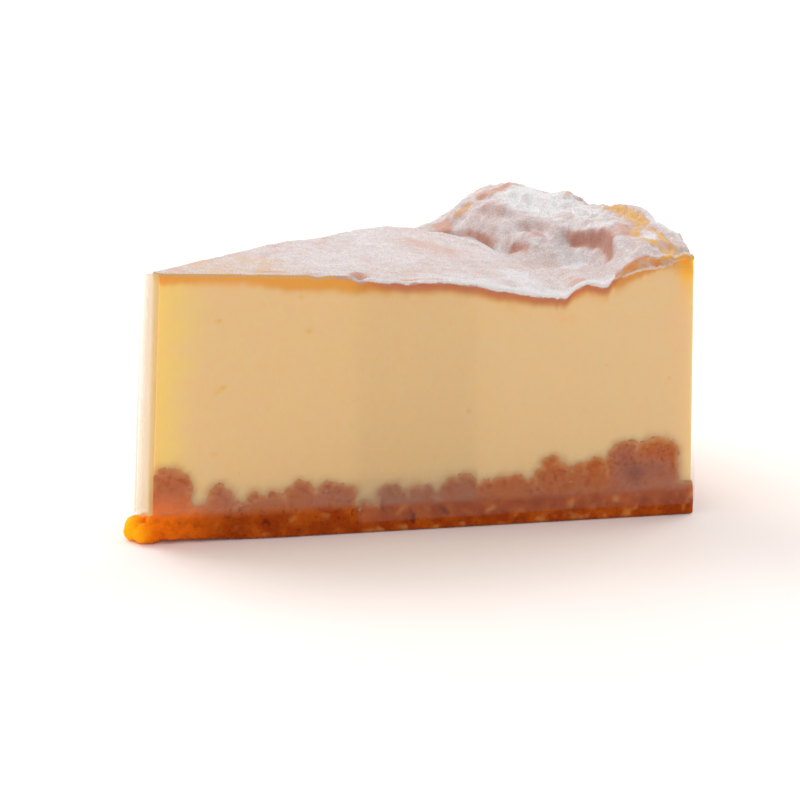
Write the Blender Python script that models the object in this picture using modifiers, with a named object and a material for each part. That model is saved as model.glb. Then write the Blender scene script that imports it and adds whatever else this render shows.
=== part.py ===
"""One slice of New York cheesecake, cut from a round cake and banded with clear film.

The slice is made as a baker makes it. A block of baked filling, with a sunken top and a
puffed rim, stands on a base of pressed crumble whose lumps reach up into it. Both layers
are cut by the same knife cuts, and a band of clear film then goes once round the slice,
its two ends overlapping on the front cut.

Metres, +Z up. The origin lies on the flat underside below the middle of the slice, and
the slice's middle line runs along +X from the tip to the rim.
"""

import math
import random

import bmesh
import bpy
from mathutils import Matrix, Vector, noise

MM = 0.001

# Driving sizes
CAKE_RADIUS = 90.0 * MM
SLICE_ANGLE = math.radians(41.0)
TIP_HEIGHT = 45.9 * MM
APEX_X = -45.0 * MM  # where the cake's centre lies
KNIFE_LEAN = math.radians(0.95)  # the slice is a little wider at its foot
BLUNT_TIP = 0.7 * MM  # how much of the sharp tip is missing
CLEARANCE = 0.3 * MM  # between one piece and the next

# The baked top: it sinks towards the rim, then rises again (shares of the cake's radius)
SINK_SLOPE = 5.6 * MM
SINK_STEP = 0.9 * MM
STEP_START, STEP_END = 0.34, 0.50
SINK_BOWL = 48.0 * MM
BOWL_START = 0.55
RIM_START = 0.77
RIM_RISE = 3.4 * MM
FRONT_SHELF = 1.2 * MM  # how much higher the rim's foot is at the front cut
SHELF_FULL = 0.81  # share of the radius
SHELF_WIDTH = (0.05, 0.4)  # shares of the way across, where it is whole and where it ends
RIDGE_SHOULDER = 0.85  # how steeply the rim rises: 1 is a parabola, 0.5 a half circle
SHOULDER = 0.62  # the same for the lobes on it
TOP_GRAIN = 0.22 * MM
TOP_GRAIN_RATE = 0.35  # noise cells a mm, like the rates below
PUFF_WRINKLE = 0.9 * MM
WRINKLE_RATE, FINE_WRINKLE_RATE, FINE_WRINKLE_SHARE = 0.13, 0.27, 0.5
WRINKLE_START, WRINKLE_FULL = 0.5 * MM, 3.5 * MM  # how far it has puffed up where it wrinkles

# The blister under the crust, a flat hollow that the front cut opens
BLISTER_HALF_SIZES = (5.8 * MM, 3.6 * MM, 0.66 * MM)
BLISTER_SHARE = 0.925  # of the cake's radius
BLISTER_HEIGHT = 42.75 * MM
BLISTER_TILT = math.radians(-5.0)

# The crumble base
BASE_RADIUS = CAKE_RADIUS + 0.7 * MM
SLAB_HEIGHT = 4.5 * MM
SLAB_RIM_RISE = 1.6 * MM
RISE_START, RISE_END = 0.45, 0.8  # shares of the radius between which the slab rises
SLAB_GRAIN = 0.45 * MM
SLAB_GRAIN_RATE = 0.25
LUMP_ROOT = SLAB_HEIGHT - 1.2 * MM  # how low every lump starts
LUMP_MIN_DEPTH = 4.5 * MM  # how far a narrow lump reaches into the slice and out of it
LUMP_ROUGHNESS = 0.16
LUMP_GRAIN_RATE = 1.7  # noise cells a lump's half size
LUMP_SEED_STEP, CRUMB_SEED_STEP = 7.3, 3.1  # from one lump's noise to the next

# The lumps of the two sides that are drawn at random, in mm, and shares of the half angle
HIDDEN_SIDE_SEED = 11
BACK_LUMPS_START, BACK_LUMPS_END = 12.0, 88.0
BACK_WIDTHS, BACK_GAPS = (4.0, 7.5), (-0.6, 2.4)
BACK_TOP, BACK_TOP_RISE, BACK_TOP_SPREAD = 7.5, 4.5, (-0.8, 1.6)
BACK_RISE_START = 50.0
RIM_LUMPS_START, RIM_LUMPS_END = -0.82, 0.85
RIM_WIDTHS, RIM_TOPS, RIM_GAPS = (5.0, 8.0), (9.0, 12.5), (0.0, 1.8)
RIM_LUMP_INSET = 2.2 * MM

# The crumbs at the tip: how high their centres lie and how long they are, in half sizes
CRUMB_LIFT, CRUMB_LENGTH = 0.8, 1.2

# The film band
FILM_THICKNESS = 0.2 * MM
FILM_WIDTH = 42.0 * MM
FILM_STANDOFF = 0.45 * MM
FILM_CORNER_SPARE = 0.5 * MM
FILM_TURN_REACH = 20.0 * MM
FILM_RADIUS = 1.5 * MM  # the tightest it bends, at the tip and the rim's corners
FILM_LAP = 0.5 * MM  # from one layer to the next where the ends overlap
FILM_LAP_RUN = 3.0 * MM
FILM_FIRST_END = 54.0 * MM  # from the apex, along the front cut
FILM_LAST_END = 34.0 * MM
FILM_FIRST_FOOT = 4.3 * MM  # the band isn't level: its first end sits higher
FILM_LAST_FOOT = 2.0 * MM
FILM_LEVEL_START, FILM_LEVEL_END = 0.3, 0.75  # shares of its length between those two feet
FILM_CUT_STEPS, FILM_TURN_STEPS, FILM_RIM_STEPS = 6, 4, 18

# Mesh spacing, and what the blocks and cutters have to spare round the slice
TOP_CELL = 1.5 * MM
SLAB_CELL = 3.2 * MM
SPARE_BEHIND, SPARE_BESIDE = 8.0 * MM, 4.0 * MM
FILLING_FOOT = 1.0 * MM  # inside the slab, whose room is then cut out of the filling
KNIFE_LENGTH = 240.0 * MM
KNIFE_HEIGHT = 80.0 * MM
RING_SPARE = 2.0 * MM
RING_SIDES = 180

# Finishes: colour and roughness
CRUMBLE_FINISH = ((0.42, 0.15, 0.04), 0.85)
CHEESE_FINISH = ((0.80, 0.56, 0.28), 0.5)
FILM_FINISH = ((0.95, 0.95, 0.97), 0.1)

HALF_ANGLE = SLICE_ANGLE / 2


def smooth_step(low, high, value):
    """0 below low, 1 above high, and a smooth S between them."""
    share = min(max((value - low) / (high - low), 0.0), 1.0)
    return share * share * (3 - 2 * share)


def polar(x, y):
    """Share of the cake's radius, and share of the way from the front cut to the back one."""
    along, across = x - APEX_X, y
    angle = math.atan2(across, along) if along > 0 else 0.0
    return math.hypot(along, across) / CAKE_RADIUS, 0.5 + angle / SLICE_ANGLE


def on_cake(share, across):
    """The plan position at a share of the radius and a share of the way across."""
    angle = (across - 0.5) * SLICE_ANGLE
    radius = share * CAKE_RADIUS
    return APEX_X + radius * math.cos(angle), radius * math.sin(angle)


# The puffed rim, as rows: share of the way across, where it starts and where it is highest as
# shares of the radius, and in mm its height there and how much lower it is at the outer edge
RIDGE = (
    (0.00, 0.845, 0.935, 44.3, 0.8),
    (0.08, 0.850, 0.950, 45.9, 1.4),
    (0.22, 0.855, 0.955, 46.0, 1.6),
    (0.36, 0.840, 0.950, 45.8, 2.0),
    (0.46, 0.800, 0.940, 45.5, 2.2),
    (0.60, 0.775, 0.925, 45.7, 2.2),
    (0.76, 0.770, 0.915, 45.8, 2.4),
    (0.88, 0.775, 0.910, 43.0, 2.0),
    (1.00, 0.800, 0.940, 40.6, 0.0),
)


def ridge_at(across):
    """The puffed rim's four values at a share of the way across, smoothly between its rows."""
    across = min(max(across, 0.0), 1.0)
    for before, after in zip(RIDGE, RIDGE[1:]):
        if across <= after[0]:
            share = smooth_step(before[0], after[0], across)
            return [low + (high - low) * share for low, high in zip(before[1:], after[1:])]
    return list(RIDGE[-1][1:])


def ridge_height(share, across, floor):
    """Height of the puffed rim: a steep shoulder up to its crest, then a gentle fall."""
    start, crest, height, drop = ridge_at(across)
    if share <= start:
        return floor
    if share < crest:
        climb = (share - start) / (crest - start)
        return floor + (height * MM - floor) * (1 - (1 - climb) ** 2) ** RIDGE_SHOULDER
    return (height - drop * ((share - crest) / (1 - crest)) ** 2) * MM


class Swell:
    """One swollen lobe on the rim: a steep dome, long in one direction."""

    def __init__(self, share, across, length, width, crest, turn=0.0):
        self.x, self.y = on_cake(share, across)
        self.length = length * MM
        self.width = width * MM
        self.crest = crest * MM
        # turn is from the tangent of the rim, in degrees
        self.heading = (across - 0.5) * SLICE_ANGLE + math.pi / 2 + math.radians(turn)

    def height(self, x, y, floor):
        """Height of the lobe above the table, where it stands above the floor round it."""
        dx, dy = x - self.x, y - self.y
        along = dx * math.cos(self.heading) + dy * math.sin(self.heading)
        aside = -dx * math.sin(self.heading) + dy * math.cos(self.heading)
        reach = (along / self.length) ** 2 + (aside / self.width) ** 2
        if reach >= 1:
            return floor
        return floor + (self.crest - floor) * (1 - reach) ** SHOULDER


# share of radius, share across, half length, half width, crest height in mm, turn in degrees
SWELLS = (
    Swell(0.805, 0.90, 5.5, 3.8, 40.0, 18),
    Swell(0.850, 0.47, 8.0, 5.6, 43.2, -16),
    Swell(0.925, 0.590, 3.4, 2.6, 47.3, 0),
    Swell(0.985, 0.37, 7.5, 2.6, 47.0, 0),
    Swell(0.985, 0.11, 5.0, 3.0, 45.9, 0),
)


def top_height(x, y):
    """Height of the baked top over a plan position."""
    share, across = polar(x, y)
    sunk = min(share, RIM_START)
    floor = TIP_HEIGHT - SINK_SLOPE * sunk - SINK_STEP * smooth_step(STEP_START, STEP_END, sunk)
    floor -= SINK_BOWL * max(sunk - BOWL_START, 0.0) ** 2
    floor += RIM_RISE * smooth_step(RIM_START, 1.0, share)
    shelf = smooth_step(RIM_START, SHELF_FULL, share) * (1 - smooth_step(*SHELF_WIDTH, across))
    floor += FRONT_SHELF * shelf
    puffed = max(floor, ridge_height(share, across, floor))
    puffed = max(swell.height(x, y, puffed) for swell in SWELLS)
    point = Vector((x, y, 0.0)) / MM
    wrinkle = noise.noise(point * WRINKLE_RATE)
    wrinkle += FINE_WRINKLE_SHARE * noise.noise(point * FINE_WRINKLE_RATE)
    swollen = smooth_step(WRINKLE_START, WRINKLE_FULL, puffed - floor)
    grain = TOP_GRAIN * noise.noise(point * TOP_GRAIN_RATE)
    return puffed + PUFF_WRINKLE * swollen * wrinkle + grain


def slab_height(x, y):
    """Height of the pressed crumble between its lumps."""
    share, _ = polar(x, y)
    point = Vector((x, y, 0.0)) / MM
    rise = SLAB_RIM_RISE * smooth_step(RISE_START, RISE_END, share)
    return SLAB_HEIGHT + rise + SLAB_GRAIN * noise.noise(point * SLAB_GRAIN_RATE)


def add_object(name, mesh_builder, collection):
    """A named mesh object from a finished bmesh."""
    mesh = bpy.data.meshes.new(name)
    mesh_builder.to_mesh(mesh)
    mesh_builder.free()
    made = bpy.data.objects.new(name, mesh)
    collection.objects.link(made)
    return made


def add_collection(name):
    """A collection in the scene."""
    collection = bpy.data.collections.new(name)
    bpy.context.scene.collection.children.link(collection)
    return collection


def add_finish(made, colour, roughness):
    """Gives an object its own plain finish, in place of what a Boolean left."""
    finish = bpy.data.materials.new(made.name)
    finish.use_nodes = True
    shader = finish.node_tree.nodes["Principled BSDF"]
    shader.inputs["Base Color"].default_value = (*colour, 1.0)
    shader.inputs["Roughness"].default_value = roughness
    made.data.materials.clear()
    made.data.materials.append(finish)


def bend_to_rim(x, y, radius):
    """Bends straight rows of a grid into the cake's arcs, more the nearer they are to the rim."""
    sagitta = radius - math.sqrt(radius * radius - y * y)
    return x - sagitta * max(x / radius, 0.0) ** 2


def layer_block(radius, cell, low, height_at):
    """A closed block with a modelled top: a bent grid, its outline drawn down and capped."""
    reach_back = radius - CAKE_RADIUS + SPARE_BEHIND
    half_width = radius * math.sin(HALF_ANGLE) + SPARE_BESIDE
    length = radius + reach_back
    block = bmesh.new()
    bmesh.ops.create_grid(
        block,
        x_segments=round(length / cell),
        y_segments=round(2 * half_width / cell),
        size=0.5,
    )
    for vertex in block.verts:
        along = (vertex.co.x + 0.5) * length - reach_back
        across = vertex.co.y * 2 * half_width
        x = APEX_X + bend_to_rim(along, across, radius)
        vertex.co = Vector((x, across, height_at(x, across)))
    outline = [edge for edge in block.edges if edge.is_boundary]
    drawn = bmesh.ops.extrude_edge_only(block, edges=outline)["geom"]
    for vertex in (item for item in drawn if isinstance(item, bmesh.types.BMVert)):
        vertex.co.z = low
    foot = [edge for edge in block.edges if edge.is_boundary]
    bmesh.ops.edgeloop_fill(block, edges=foot)
    bmesh.ops.recalc_face_normals(block, faces=block.faces)
    return block


def lump_mesh(place, half_sizes, seed, grow):
    """A rough lump of crumble: a ball pushed in and out by noise, grown by a clearance."""
    lump = bmesh.new()
    bmesh.ops.create_icosphere(lump, subdivisions=2, radius=1.0)
    for vertex in lump.verts:
        way = vertex.co.normalized()
        rough = 1 + LUMP_ROUGHNESS * noise.noise(way * LUMP_GRAIN_RATE + Vector((seed, 0, 0)))
        vertex.co = Vector(w * (h * rough + grow) for w, h in zip(way, half_sizes))
    turn = Matrix.Rotation(-HALF_ANGLE, 4, "Z")
    bmesh.ops.transform(lump, matrix=Matrix.Translation(place) @ turn, verts=lump.verts)
    return lump


# Lumps that the front cut goes through: distance from the apex, width and top, in mm
FRONT_LUMPS = (
    (3.4, 6.8, 13.7),
    (7.4, 4.2, 6.4),
    (11.6, 4.9, 9.8),
    (14.4, 3.6, 7.0),
    (17.4, 3.6, 8.2),
    (20.6, 3.8, 8.3),
    (24.6, 5.0, 9.4),
    (30.1, 7.0, 9.1),
    (40.1, 4.8, 7.9),
    (44.3, 5.2, 7.1),
    (51.6, 6.8, 8.8),
    (58.8, 8.2, 8.1),
    (67.1, 6.4, 10.5),
    (70.4, 4.6, 8.9),
    (73.4, 6.0, 10.1),
    (78.8, 6.4, 12.1),
    (84.6, 7.2, 13.1),
    (87.6, 5.0, 8.2),
)

# Crumbs that the knife squeezed out at the tip: distance ahead of it, aside and half size, in mm
TIP_CRUMBS = (
    (2.3, 0.2, 2.3),
    (0.2, -1.0, 2.2),
    (-0.4, 1.3, 2.1),
)


def lumps_along_cuts():
    """Every lump as (place, half sizes): those of the front cut, then the hidden sides by rule."""
    draw = random.Random(HIDDEN_SIDE_SEED)
    found = [(distance, -HALF_ANGLE, width, top) for distance, width, top in FRONT_LUMPS]
    distance = BACK_LUMPS_START
    while distance < BACK_LUMPS_END:
        width = draw.uniform(*BACK_WIDTHS)
        rise = BACK_TOP_RISE * smooth_step(BACK_RISE_START, BACK_LUMPS_END, distance)
        top = BACK_TOP + rise + draw.uniform(*BACK_TOP_SPREAD)
        found.append((distance + width / 2, HALF_ANGLE, width, top))
        distance += width + draw.uniform(*BACK_GAPS)
    turned = RIM_LUMPS_START * HALF_ANGLE
    while turned < RIM_LUMPS_END * HALF_ANGLE:
        width, top = draw.uniform(*RIM_WIDTHS), draw.uniform(*RIM_TOPS)
        found.append(((CAKE_RADIUS - RIM_LUMP_INSET) / MM, turned, width, top))
        turned += (width + draw.uniform(*RIM_GAPS)) * MM / CAKE_RADIUS
    lumps = []
    for distance, angle, width, top in found:
        radius, half_width, top = distance * MM, width * MM / 2, top * MM
        half_height = (top - LUMP_ROOT) / 2
        x, y = APEX_X + radius * math.cos(angle), radius * math.sin(angle)
        half_depth = max(half_width, LUMP_MIN_DEPTH / 2)
        lumps.append((Vector((x, y, top - half_height)), (half_width, half_depth, half_height)))
    return lumps


def join_all(body, collection, operation, solver="EXACT"):
    """Applies one Boolean between a body and a collection, whose objects are then removed."""
    modifier = body.modifiers.new("join", "BOOLEAN")
    modifier.operation = operation
    modifier.operand_type = "COLLECTION"
    modifier.collection = collection
    modifier.solver = solver
    graph = bpy.context.evaluated_depsgraph_get()
    joined = bpy.data.meshes.new_from_object(body.evaluated_get(graph))
    body.modifiers.clear()
    body.data = joined
    for used in list(collection.objects):
        bpy.data.objects.remove(used)
    bpy.data.collections.remove(collection)


def drop_scraps(body):
    """Drops the crumbs that a cut leaves loose: all but the piece with the most corners."""
    mesh = bmesh.new()
    mesh.from_mesh(body.data)
    unseen, pieces = set(mesh.verts), []
    while unseen:
        piece, edge_of_piece = set(), [unseen.pop()]
        while edge_of_piece:
            corner = edge_of_piece.pop()
            piece.add(corner)
            near = {edge.other_vert(corner) for edge in corner.link_edges} & unseen
            unseen -= near
            edge_of_piece.extend(near)
        pieces.append(piece)
    pieces.sort(key=len)
    for scrap in pieces[:-1]:
        bmesh.ops.delete(mesh, geom=list(scrap), context="VERTS")
    mesh.to_mesh(body.data)
    mesh.free()


def crumble_body(name, collection, grow):
    """The pressed slab with its lumps joined on, before the cuts. grow swells it into a cutter."""
    radius = BASE_RADIUS + RING_SPARE + grow
    slab = layer_block(radius, SLAB_CELL, -grow, lambda x, y: slab_height(x, y) + grow)
    body = add_object(name, slab, collection)
    lumps = add_collection(name + "_lumps")
    for number, (place, half_sizes) in enumerate(lumps_along_cuts()):
        lump = lump_mesh(place, half_sizes, LUMP_SEED_STEP * number, grow)
        add_object(f"{name}_lump_{number}", lump, lumps)
    join_all(body, lumps, "UNION", "MANIFOLD")
    return body


def cake_ring(name, radius):
    """The baking ring's inside as a cylinder, which trims the base to a clean rim."""
    ring = bmesh.new()
    bmesh.ops.create_cone(
        ring,
        cap_ends=True,
        segments=RING_SIDES,
        radius1=radius,
        radius2=radius,
        depth=2 * KNIFE_HEIGHT,
    )
    bmesh.ops.transform(ring, matrix=Matrix.Translation((APEX_X, 0, 0)), verts=ring.verts)
    rings = add_collection(name)
    add_object(f"{name}_inside", ring, rings)
    return rings


def knife_cuts(name):
    """The three cuts as large blocks to take away: front, back and the blunt tip."""
    cuts = add_collection(name)
    for side in (-1, 1):
        block = bmesh.new()
        bmesh.ops.create_cube(block, size=1.0)
        size = Matrix.Diagonal((KNIFE_LENGTH, KNIFE_HEIGHT, KNIFE_HEIGHT * 2, 1.0))
        beside = Matrix.Translation((0, side * KNIFE_HEIGHT / 2, 0))
        lean = Matrix.Rotation(side * KNIFE_LEAN, 4, "X")
        heading = Matrix.Rotation(side * HALF_ANGLE, 4, "Z")
        hinge = Matrix.Translation((APEX_X, 0, TIP_HEIGHT))
        bmesh.ops.transform(
            block, matrix=hinge @ heading @ lean @ beside @ size, verts=block.verts
        )
        add_object(f"{name}_{side}", block, cuts)
    block = bmesh.new()
    bmesh.ops.create_cube(block, size=1.0)
    size = Matrix.Diagonal((KNIFE_HEIGHT, KNIFE_LENGTH, KNIFE_HEIGHT * 2, 1.0))
    beside = Matrix.Translation((-KNIFE_HEIGHT / 2, 0, 0))
    lean = Matrix.Rotation(math.atan(math.tan(KNIFE_LEAN) / math.sin(HALF_ANGLE)), 4, "Y")
    hinge = Matrix.Translation((APEX_X + BLUNT_TIP, 0, TIP_HEIGHT))
    bmesh.ops.transform(block, matrix=hinge @ lean @ beside @ size, verts=block.verts)
    add_object(f"{name}_tip", block, cuts)
    return cuts


def blister_cutter(collection):
    """The flat hollow under the crust that the front cut opens near the rim."""
    hollow = bmesh.new()
    bmesh.ops.create_uvsphere(hollow, u_segments=20, v_segments=10, radius=1.0)
    size = Matrix.Diagonal((*BLISTER_HALF_SIZES, 1.0))
    tilt = Matrix.Rotation(BLISTER_TILT, 4, "Y")
    heading = Matrix.Rotation(-HALF_ANGLE, 4, "Z")
    place = Matrix.Translation((*on_cake(BLISTER_SHARE, 0.0), BLISTER_HEIGHT))
    bmesh.ops.transform(hollow, matrix=place @ heading @ tilt @ size, verts=hollow.verts)
    return add_object("blister", hollow, collection)


def make_base(collection):
    """The crumble base, cut with the slice, and the crumbs that the knife squeezed out."""
    base = crumble_body("crumble_base", collection, 0.0)
    join_all(base, cake_ring("base_ring", BASE_RADIUS), "INTERSECT", "MANIFOLD")
    join_all(base, knife_cuts("base_cuts"), "DIFFERENCE")
    tip = add_collection("base_tip")
    for number, (ahead, aside, half_size) in enumerate(TIP_CRUMBS):
        half = half_size * MM
        place = Vector((APEX_X - ahead * MM, aside * MM, CRUMB_LIFT * half))
        sizes = (CRUMB_LENGTH * half, half, half)
        crumb = lump_mesh(place, sizes, CRUMB_SEED_STEP * number, 0.0)
        for corner in crumb.verts:
            corner.co.z = max(corner.co.z, 0.0)
        add_object(f"tip_crumb_{number}", crumb, tip)
    join_all(base, tip, "UNION", "MANIFOLD")
    drop_scraps(base)
    add_finish(base, *CRUMBLE_FINISH)
    return base


def make_filling(collection):
    """The baked filling: a block, less the knife cuts, the blister and the crumble's room."""
    block = layer_block(CAKE_RADIUS, TOP_CELL, FILLING_FOOT, top_height)
    filling = add_object("cheese_filling", block, collection)
    cuts = knife_cuts("filling_cuts")
    blister_cutter(cuts)
    join_all(filling, cuts, "DIFFERENCE")
    room = add_collection("room")
    crumble_body("room_for_crumble", room, CLEARANCE)
    join_all(filling, room, "DIFFERENCE", "MANIFOLD")
    drop_scraps(filling)
    add_finish(filling, *CHEESE_FINISH)
    return filling


def film_standoff(reach):
    """How far the band stands off a cut: least in the middle, more where it has to turn."""
    near_corner = min(reach, CAKE_RADIUS - reach)
    return FILM_STANDOFF + FILM_CORNER_SPARE * (1 - smooth_step(0.0, FILM_TURN_REACH, near_corner))


def film_line(height):
    """The band's plan line at one height, from its first end round the slice to its last end."""
    lean = math.tan(KNIFE_LEAN) * (TIP_HEIGHT - height)
    apex = Vector((APEX_X, 0.0))
    ways = {side: Vector((math.cos(HALF_ANGLE), side * math.sin(HALF_ANGLE))) for side in (-1, 1)}
    outs = {side: Vector((-math.sin(HALF_ANGLE), side * math.cos(HALF_ANGLE))) for side in (-1, 1)}
    rim_radius = BASE_RADIUS + FILM_STANDOFF
    cut_end = rim_radius - FILM_RADIUS
    corner_off = lean + film_standoff(0.0)
    line = []

    def along_cut(side, start, end, lap=0.0):
        for step in range(FILM_CUT_STEPS + 1):
            reach = start + (end - start) * step / FILM_CUT_STEPS
            off = lean + film_standoff(reach) + lap
            line.append(apex + ways[side] * reach + outs[side] * off)

    def round_rim_corner(side, from_cut):
        centre = apex + ways[side] * cut_end + outs[side] * (corner_off - FILM_RADIUS)
        for step in range(FILM_TURN_STEPS + 1):
            turned = math.pi / 2 * step / FILM_TURN_STEPS
            turned = math.pi / 2 - turned if from_cut else turned
            spoke = ways[side] * math.cos(turned) + outs[side] * math.sin(turned)
            line.append(centre + spoke * FILM_RADIUS)

    tip_centre = apex + Vector(((FILM_RADIUS - corner_off) / math.sin(HALF_ANGLE), 0.0))
    tip_start = (FILM_RADIUS - corner_off) / math.tan(HALF_ANGLE)
    along_cut(-1, FILM_FIRST_END, tip_start + FILM_RADIUS)
    for step in range(2 * FILM_TURN_STEPS + 1):
        turned = (math.pi / 2 - HALF_ANGLE) * (1 - step / FILM_TURN_STEPS)
        spoke = Vector((-math.cos(turned), -math.sin(turned)))
        line.append(tip_centre + spoke * FILM_RADIUS)
    along_cut(1, tip_start + FILM_RADIUS, cut_end - FILM_RADIUS)
    round_rim_corner(1, True)
    for step in range(1, FILM_RIM_STEPS):
        turned = HALF_ANGLE * (1 - 2 * step / FILM_RIM_STEPS)
        line.append(apex + Vector((math.cos(turned), math.sin(turned))) * rim_radius)
    round_rim_corner(-1, False)
    along_cut(-1, cut_end - FILM_RADIUS, FILM_FIRST_END + 2 * FILM_LAP_RUN)
    along_cut(-1, FILM_FIRST_END + FILM_LAP_RUN, FILM_LAST_END, FILM_LAP)
    return line


def make_film(collection):
    """The clear band: an open strip along its line, leaning with the cuts, given its thickness."""
    foot_line, top_line = film_line(0.0), film_line(TIP_HEIGHT)
    lengths = [0.0]
    for before, after in zip(foot_line, foot_line[1:]):
        lengths.append(lengths[-1] + (after - before).length)
    strip = bmesh.new()
    rows = []
    for low, high, length in zip(foot_line, top_line, lengths):
        run = smooth_step(FILM_LEVEL_START, FILM_LEVEL_END, length / lengths[-1])
        foot = FILM_FIRST_FOOT + (FILM_LAST_FOOT - FILM_FIRST_FOOT) * run
        heights = (foot, foot + FILM_WIDTH)
        rows.append([strip.verts.new((*low.lerp(high, z / TIP_HEIGHT), z)) for z in heights])
    for before, after in zip(rows, rows[1:]):
        strip.faces.new((before[0], before[1], after[1], after[0]))
    film = add_object("clear_film", strip, collection)
    thicken = film.modifiers.new("thickness", "SOLIDIFY")
    thicken.thickness = FILM_THICKNESS
    thicken.offset = 1.0
    add_finish(film, *FILM_FINISH)
    return film


def main():
    """Clears the scene and makes the slice."""
    for old in list(bpy.data.objects):
        bpy.data.objects.remove(old)
    cake = add_collection("new_york_cheesecake_slice")
    make_base(cake)
    make_filling(cake)
    make_film(cake)


main()
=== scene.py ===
"""The looks of one slice of New York cheesecake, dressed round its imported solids.

The slice is a wedge of a round cake: a baked filling with a sunken top and a puffed rim, a base
of pressed crumble whose lumps reach up into it, icing sugar dusted over the top, and a band of
clear film round the cut faces. Sizes are in millimetres until a mesh is finished.

Two measures place everything on the slice: the share of the cake's radius, from the tip to the
rim, and the share of the way across, from the front cut to the back one.
"""

import logging
import math
import random
from dataclasses import dataclass
from enum import Enum
from typing import Optional, Sequence

import bpy
import numpy as np
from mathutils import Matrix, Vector, noise


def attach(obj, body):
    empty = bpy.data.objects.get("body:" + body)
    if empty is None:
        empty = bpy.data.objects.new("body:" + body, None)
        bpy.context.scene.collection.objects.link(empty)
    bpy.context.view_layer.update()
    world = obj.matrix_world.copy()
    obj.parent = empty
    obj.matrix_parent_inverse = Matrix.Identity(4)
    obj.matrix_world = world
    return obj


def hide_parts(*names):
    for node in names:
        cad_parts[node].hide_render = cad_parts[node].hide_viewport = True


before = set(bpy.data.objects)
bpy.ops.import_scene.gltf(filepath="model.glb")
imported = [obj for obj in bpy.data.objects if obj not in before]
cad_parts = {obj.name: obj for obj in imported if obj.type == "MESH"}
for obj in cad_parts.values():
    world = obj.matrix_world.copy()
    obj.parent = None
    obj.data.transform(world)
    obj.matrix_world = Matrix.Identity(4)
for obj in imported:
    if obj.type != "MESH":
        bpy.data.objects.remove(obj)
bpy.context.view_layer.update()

MM = 0.001
LOG = logging.getLogger("cheesecake")
Colour = tuple[float, float, float]

# Several noises, each by its amount, its cells a mm and its seed
Waves = Sequence[tuple[float, float, float]]


class Slot(Enum):
    """Names of the material slots."""

    CHEESE = "baked_cheese"
    CRUMB = "crumb"
    FILM = "film"


class Side(Enum):
    """The sides of the slice, and the code that marks a corner of a mesh as lying on one."""

    TOP = 0
    FRONT = 1
    BACK = 2
    RIM = 3
    TIP = 4


def smooth_step(low: float, high: float, value: np.ndarray) -> np.ndarray:
    """0 below low, 1 above high, and a smooth S between them."""
    share = np.clip((value - low) / (high - low), 0.0, 1.0)
    return share * share * (3 - 2 * share)


def fade(low: float, high: float, value: np.ndarray) -> np.ndarray:
    """1 below low, 0 above high, and a smooth S between them."""
    return 1 - smooth_step(low, high, value)


def peak(value: np.ndarray, middle: float, half: float) -> np.ndarray:
    """1 at a middle, falling off like a bell on both sides."""
    return np.exp(-(((value - middle) / half) ** 2))


def noise_at(points: np.ndarray, rate: float, seed: float = 0.0) -> np.ndarray:
    """Smooth noise at many points.

    Args:
        points: One row of x, y and z in millimetres for each point.
        rate: Noise cells a millimetre.
        seed: Moves the pattern, so that two patterns differ.

    Returns:
        One value a point, from about -1 to 1.
    """
    moved = points * rate + (seed, 0.37 * seed, -0.61 * seed)
    return np.array([noise.noise(point) for point in moved.tolist()])


def layered(points: np.ndarray, waves: Waves) -> np.ndarray:
    """The sum of several noises at many points in mm."""
    return sum(amount * noise_at(points, rate, seed) for amount, rate, seed in waves)


def on_plan(x: np.ndarray, y: np.ndarray) -> np.ndarray:
    """Plan positions as rows of x, y and 0."""
    return np.stack([x, y, np.zeros_like(x)], axis=1)


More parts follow.
